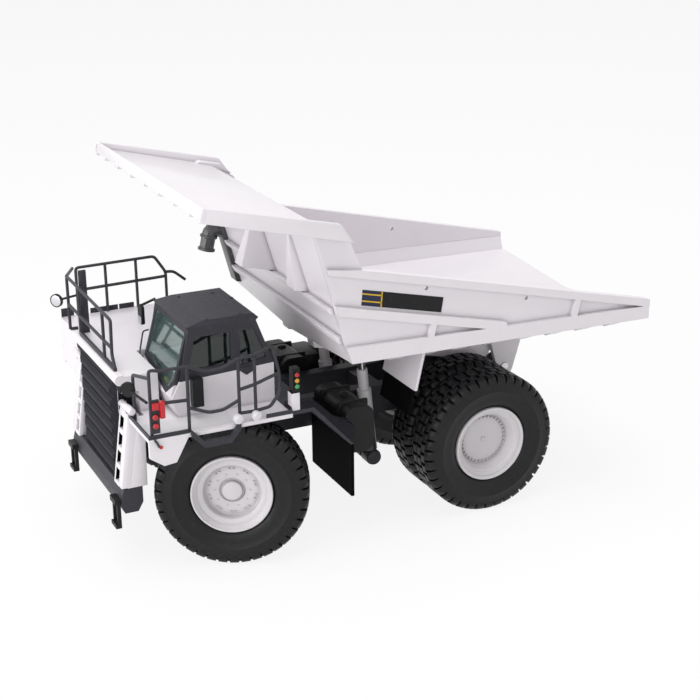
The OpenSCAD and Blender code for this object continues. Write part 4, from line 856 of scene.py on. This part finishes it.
# exhaust: flat duct on the wall and a bent pipe with two collars
exhaust = {"x": 110.8, "y": -50.7, "z": 30.3, "r": 2.95, "end": 21.2, "bend": 5.0,
           "collars": [21.2, 26.6], "collarR": 3.6, "collarT": 1.1,
           "duct": (10.0, 34.0), "ductY": (-53.9, -47.4), "ductT": 2.3}
bm = bmesh.new()
low, high = exhaust["duct"]
y0, y1 = exhaust["ductY"]
section = [(wallX(low) + 0.05, low), (wallX(low) + exhaust["ductT"], low),
           (wallX(high) + exhaust["ductT"], high), (wallX(high) + 0.05, high)]
addPlate(bm, [(x, y0, z) for x, z in section], (0, y1 - y0, 0), 0.3)
x, y, z = exhaust["x"], exhaust["y"], exhaust["z"]
addTube(bm, [(wallX(z) + 0.5, y, z), (x, y, z), (x, y, exhaust["end"])], exhaust["r"], exhaust["bend"])
for z in exhaust["collars"]:
    ring = addRod(bm, (x, y, z), (x, y, z + exhaust["collarT"]), exhaust["collarR"], None, 28)
    roundEdges(bm, edgesOf(ring), 0.2, 1)
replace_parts(newPiece("exhaustElbow", bm, "bed", "castGrey", bedToFrame), "bed_exhaust")
print("bed front, canopy and exhaust made")

# bed side plaque: a bare dark field with a blue end and yellow lines
plaque = {"face": 56.2, "field": [(60.2, 29.9), (85.4, 29.9), (86.2, 35.6), (60.6, 35.6)],
          "end": [(85.4, 29.9), (93.4, 29.9), (94.2, 35.6), (86.2, 35.6)],
          "sunk": 0.05, "thick": 0.12, "lineT": 0.18,
          "lines": [[(86.0, 33.9), (94.0, 33.9), (94.05, 34.4), (86.05, 34.4)],
                    [(85.6, 31.3), (93.6, 31.3), (93.65, 31.8), (85.65, 31.8)],
                    [(85.2, 29.9), (85.7, 29.9), (86.5, 35.6), (86.0, 35.6)]]}


def bedPiece(name, outlines, thickness, finish):
    bm = bmesh.new()
    for outline in outlines:
        corners = [(x, plaque["face"] - plaque["sunk"], z) for x, z in outline]
        addPlate(bm, corners, (0, thickness + plaque["sunk"], 0))
    return newPiece(name, bm, "bed", finish, bedToFrame)


bedPiece("plaqueField", [plaque["field"]], plaque["thick"], "black")
bedPiece("plaqueEnd", [plaque["end"]], plaque["thick"], "navy")
bedPiece("plaqueLines", plaque["lines"], plaque["lineT"], "yellow")
print("plaque made")

# deck walkway, the tanks' straps, caps and end, and the box behind the left fender
deck = {"low": (105.0, 40.6, 58.45), "high": (137.8, 53.0, 58.56)}
bm = bmesh.new()
addBox(bm, deck["low"], deck["high"], 0.04, 1)
newPiece("deckWalkway", bm, "chassis", "treadWhite")
tank = {"x": (47.2, 59.2), "z": (33.0, 51.2), "left": (22.0, 37.5), "right": (-20.5, -34.5),
        "strapHalf": 0.8, "lift": 0.25, "cap": (53.2, 30.0)}
bm = bmesh.new()
(x0, x1), (z0, z1), lift, half = (tank[key] for key in ("x", "z", "lift", "strapHalf"))
for y in tank["left"] + tank["right"]:
    addBox(bm, (x0 - lift, y - half, z0 - lift), (x1 + lift, y + half, z1 + lift), 0.35)
for side in (1, -1):
    addDome(bm, (tank["cap"][0], side * tank["cap"][1], z1), (0, 0, 1), 1.8, 1.1)
newPiece("tankStraps", bm, "chassis", "black")
sideBox = {"tankEnd": [(48.0, 33.2), (48.0, 48.6), (38.9, 48.6), (36.2, 47.4), (34.9, 44.6), (34.9, 37.0),
                       (36.2, 34.4), (39.0, 33.2)],
           "tankY": (-22.6, -39.9),
           "fender": [(61.6, 41.2), (59.5, 43.8), (59.5, 48.6), (65.4, 50.9), (74.6, 60.1), (84.8, 60.1),
                      (84.8, 57.2), (77.2, 57.2)],
           "fenderY": (46.0, 52.9)}
bm = bmesh.new()
y0, y1 = sideBox["tankY"]
addPlate(bm, [(x, y0, z) for x, z in sideBox["tankEnd"]], (0, y1 - y0, 0), 0.5)
newPiece("tankEnd", bm, "chassis", "black")
bm = bmesh.new()
y0, y1 = sideBox["fenderY"]
addPlate(bm, [(x, y0, z) for x, z in sideBox["fender"]], (0, y1 - y0, 0), 0.35)
newPiece("fenderBox", bm, "chassis", "grilleGrey")
print("deck and tank trim made")

# stage: floor, soft lamps, world and camera
stage = {"floorSize": 6.0, "floorTone": (0.88, 0.88, 0.88, 1), "floorWhite": 0.87, "ambient": 0.49,
         "aim": (0, 0, 0.06),
         "lamps": [  # place in metres, size, power
             ((0.15, 0.05, 1.15), 0.9, 8.4),
             ((1.05, 0.20, 0.30), 0.7, 5.4),
             ((0.70, 0.90, 0.40), 0.6, 1.6),
         ]}
floorBm = bmesh.new()
bmesh.ops.create_grid(floorBm, x_segments=2, y_segments=2, size=stage["floorSize"])
floorMesh = bpy.data.meshes.new("studioFloor")
floorBm.to_mesh(floorMesh)
floorBm.free()
floor = bpy.data.objects.new("studioFloor", floorMesh)
bpy.context.scene.collection.objects.link(floor)


def seenWhite(finish):
    # 1 where a ray comes straight from the camera, off gloss or through glass
    rays = finish.tree.nodes.new("ShaderNodeLightPath")
    seen = Wire(finish, rays.outputs["Is Camera Ray"])
    for other in ("Is Glossy Ray", "Is Transmission Ray"):
        seen = seen.sum("MAXIMUM", seen, Wire(finish, rays.outputs[other]))
    return seen


paper = newFinish("studioPaper")
matt = paper.node("ShaderNodeBsdfDiffuse", None, {"Color": stage["floorTone"]})
glow = paper.node("ShaderNodeEmission", None, {"Color": (1, 1, 1, 1), "Strength": 1.0})
share = seenWhite(paper) * stage["floorWhite"]
paper.close(paper.node("ShaderNodeMixShader", None, {0: share, 1: matt, 2: glow}))
floorMesh.materials.append(paper.owner)

world = Finish(bpy.data.worlds.new("studioWorld"))
bpy.context.scene.world = world.owner
dim = world.node("ShaderNodeBackground", None, {"Color": (1, 1, 1, 1), "Strength": stage["ambient"]})
white = world.node("ShaderNodeBackground", None, {"Color": (1, 1, 1, 1), "Strength": 1.0})
sky = world.node("ShaderNodeMixShader", None, {0: seenWhite(world), 1: dim, 2: white})
worldEnd = world.tree.nodes.new("ShaderNodeOutputWorld")
world.tree.links.new(sky.socket, worldEnd.inputs["Surface"])

for number, (place, size, power) in enumerate(stage["lamps"]):
    softbox = bpy.data.lights.new("softbox" + str(number), "AREA")
    softbox.shape, softbox.size, softbox.energy = "SQUARE", size, power
    holder = bpy.data.objects.new("softbox" + str(number), softbox)
    holder.location = place
    holder.rotation_mode = "QUATERNION"
    holder.rotation_quaternion = (Vector(stage["aim"]) - Vector(place)).to_track_quat("-Z", "Y")
    bpy.context.scene.collection.objects.link(holder)

view = {"place": (0.235307, 0.502104, 0.258523), "azimuth": 25.432, "elevation": 19.950, "roll": -0.602,
        "lens": 75.712, "sensor": 36.0}
azimuth, elevation, roll = (math.radians(view[k]) for k in ("azimuth", "elevation", "roll"))
back = Vector((math.sin(azimuth) * math.cos(elevation), math.cos(azimuth) * math.cos(elevation),
               math.sin(elevation)))
right = Vector((0, 0, 1)).cross(back).normalized()
up = back.cross(right)
turnedRight = right * math.cos(roll) + up * math.sin(roll)
turnedUp = up * math.cos(roll) - right * math.sin(roll)
camera = bpy.data.cameras.new("photoCamera")
camera.sensor_width, camera.lens = view["sensor"], view["lens"]
cameraHolder = bpy.data.objects.new("photoCamera", camera)
cameraHolder.matrix_world = Matrix((
    (turnedRight.x, turnedUp.x, back.x, view["place"][0]),
    (turnedRight.y, turnedUp.y, back.y, view["place"][1]),
    (turnedRight.z, turnedUp.z, back.z, view["place"][2]),
    (0, 0, 0, 1)))
bpy.context.scene.collection.objects.link(cameraHolder)
bpy.context.scene.camera = cameraHolder
bpy.context.scene.view_settings.view_transform = "Standard"
print("stage and camera set")

bpy.context.view_layer.update()
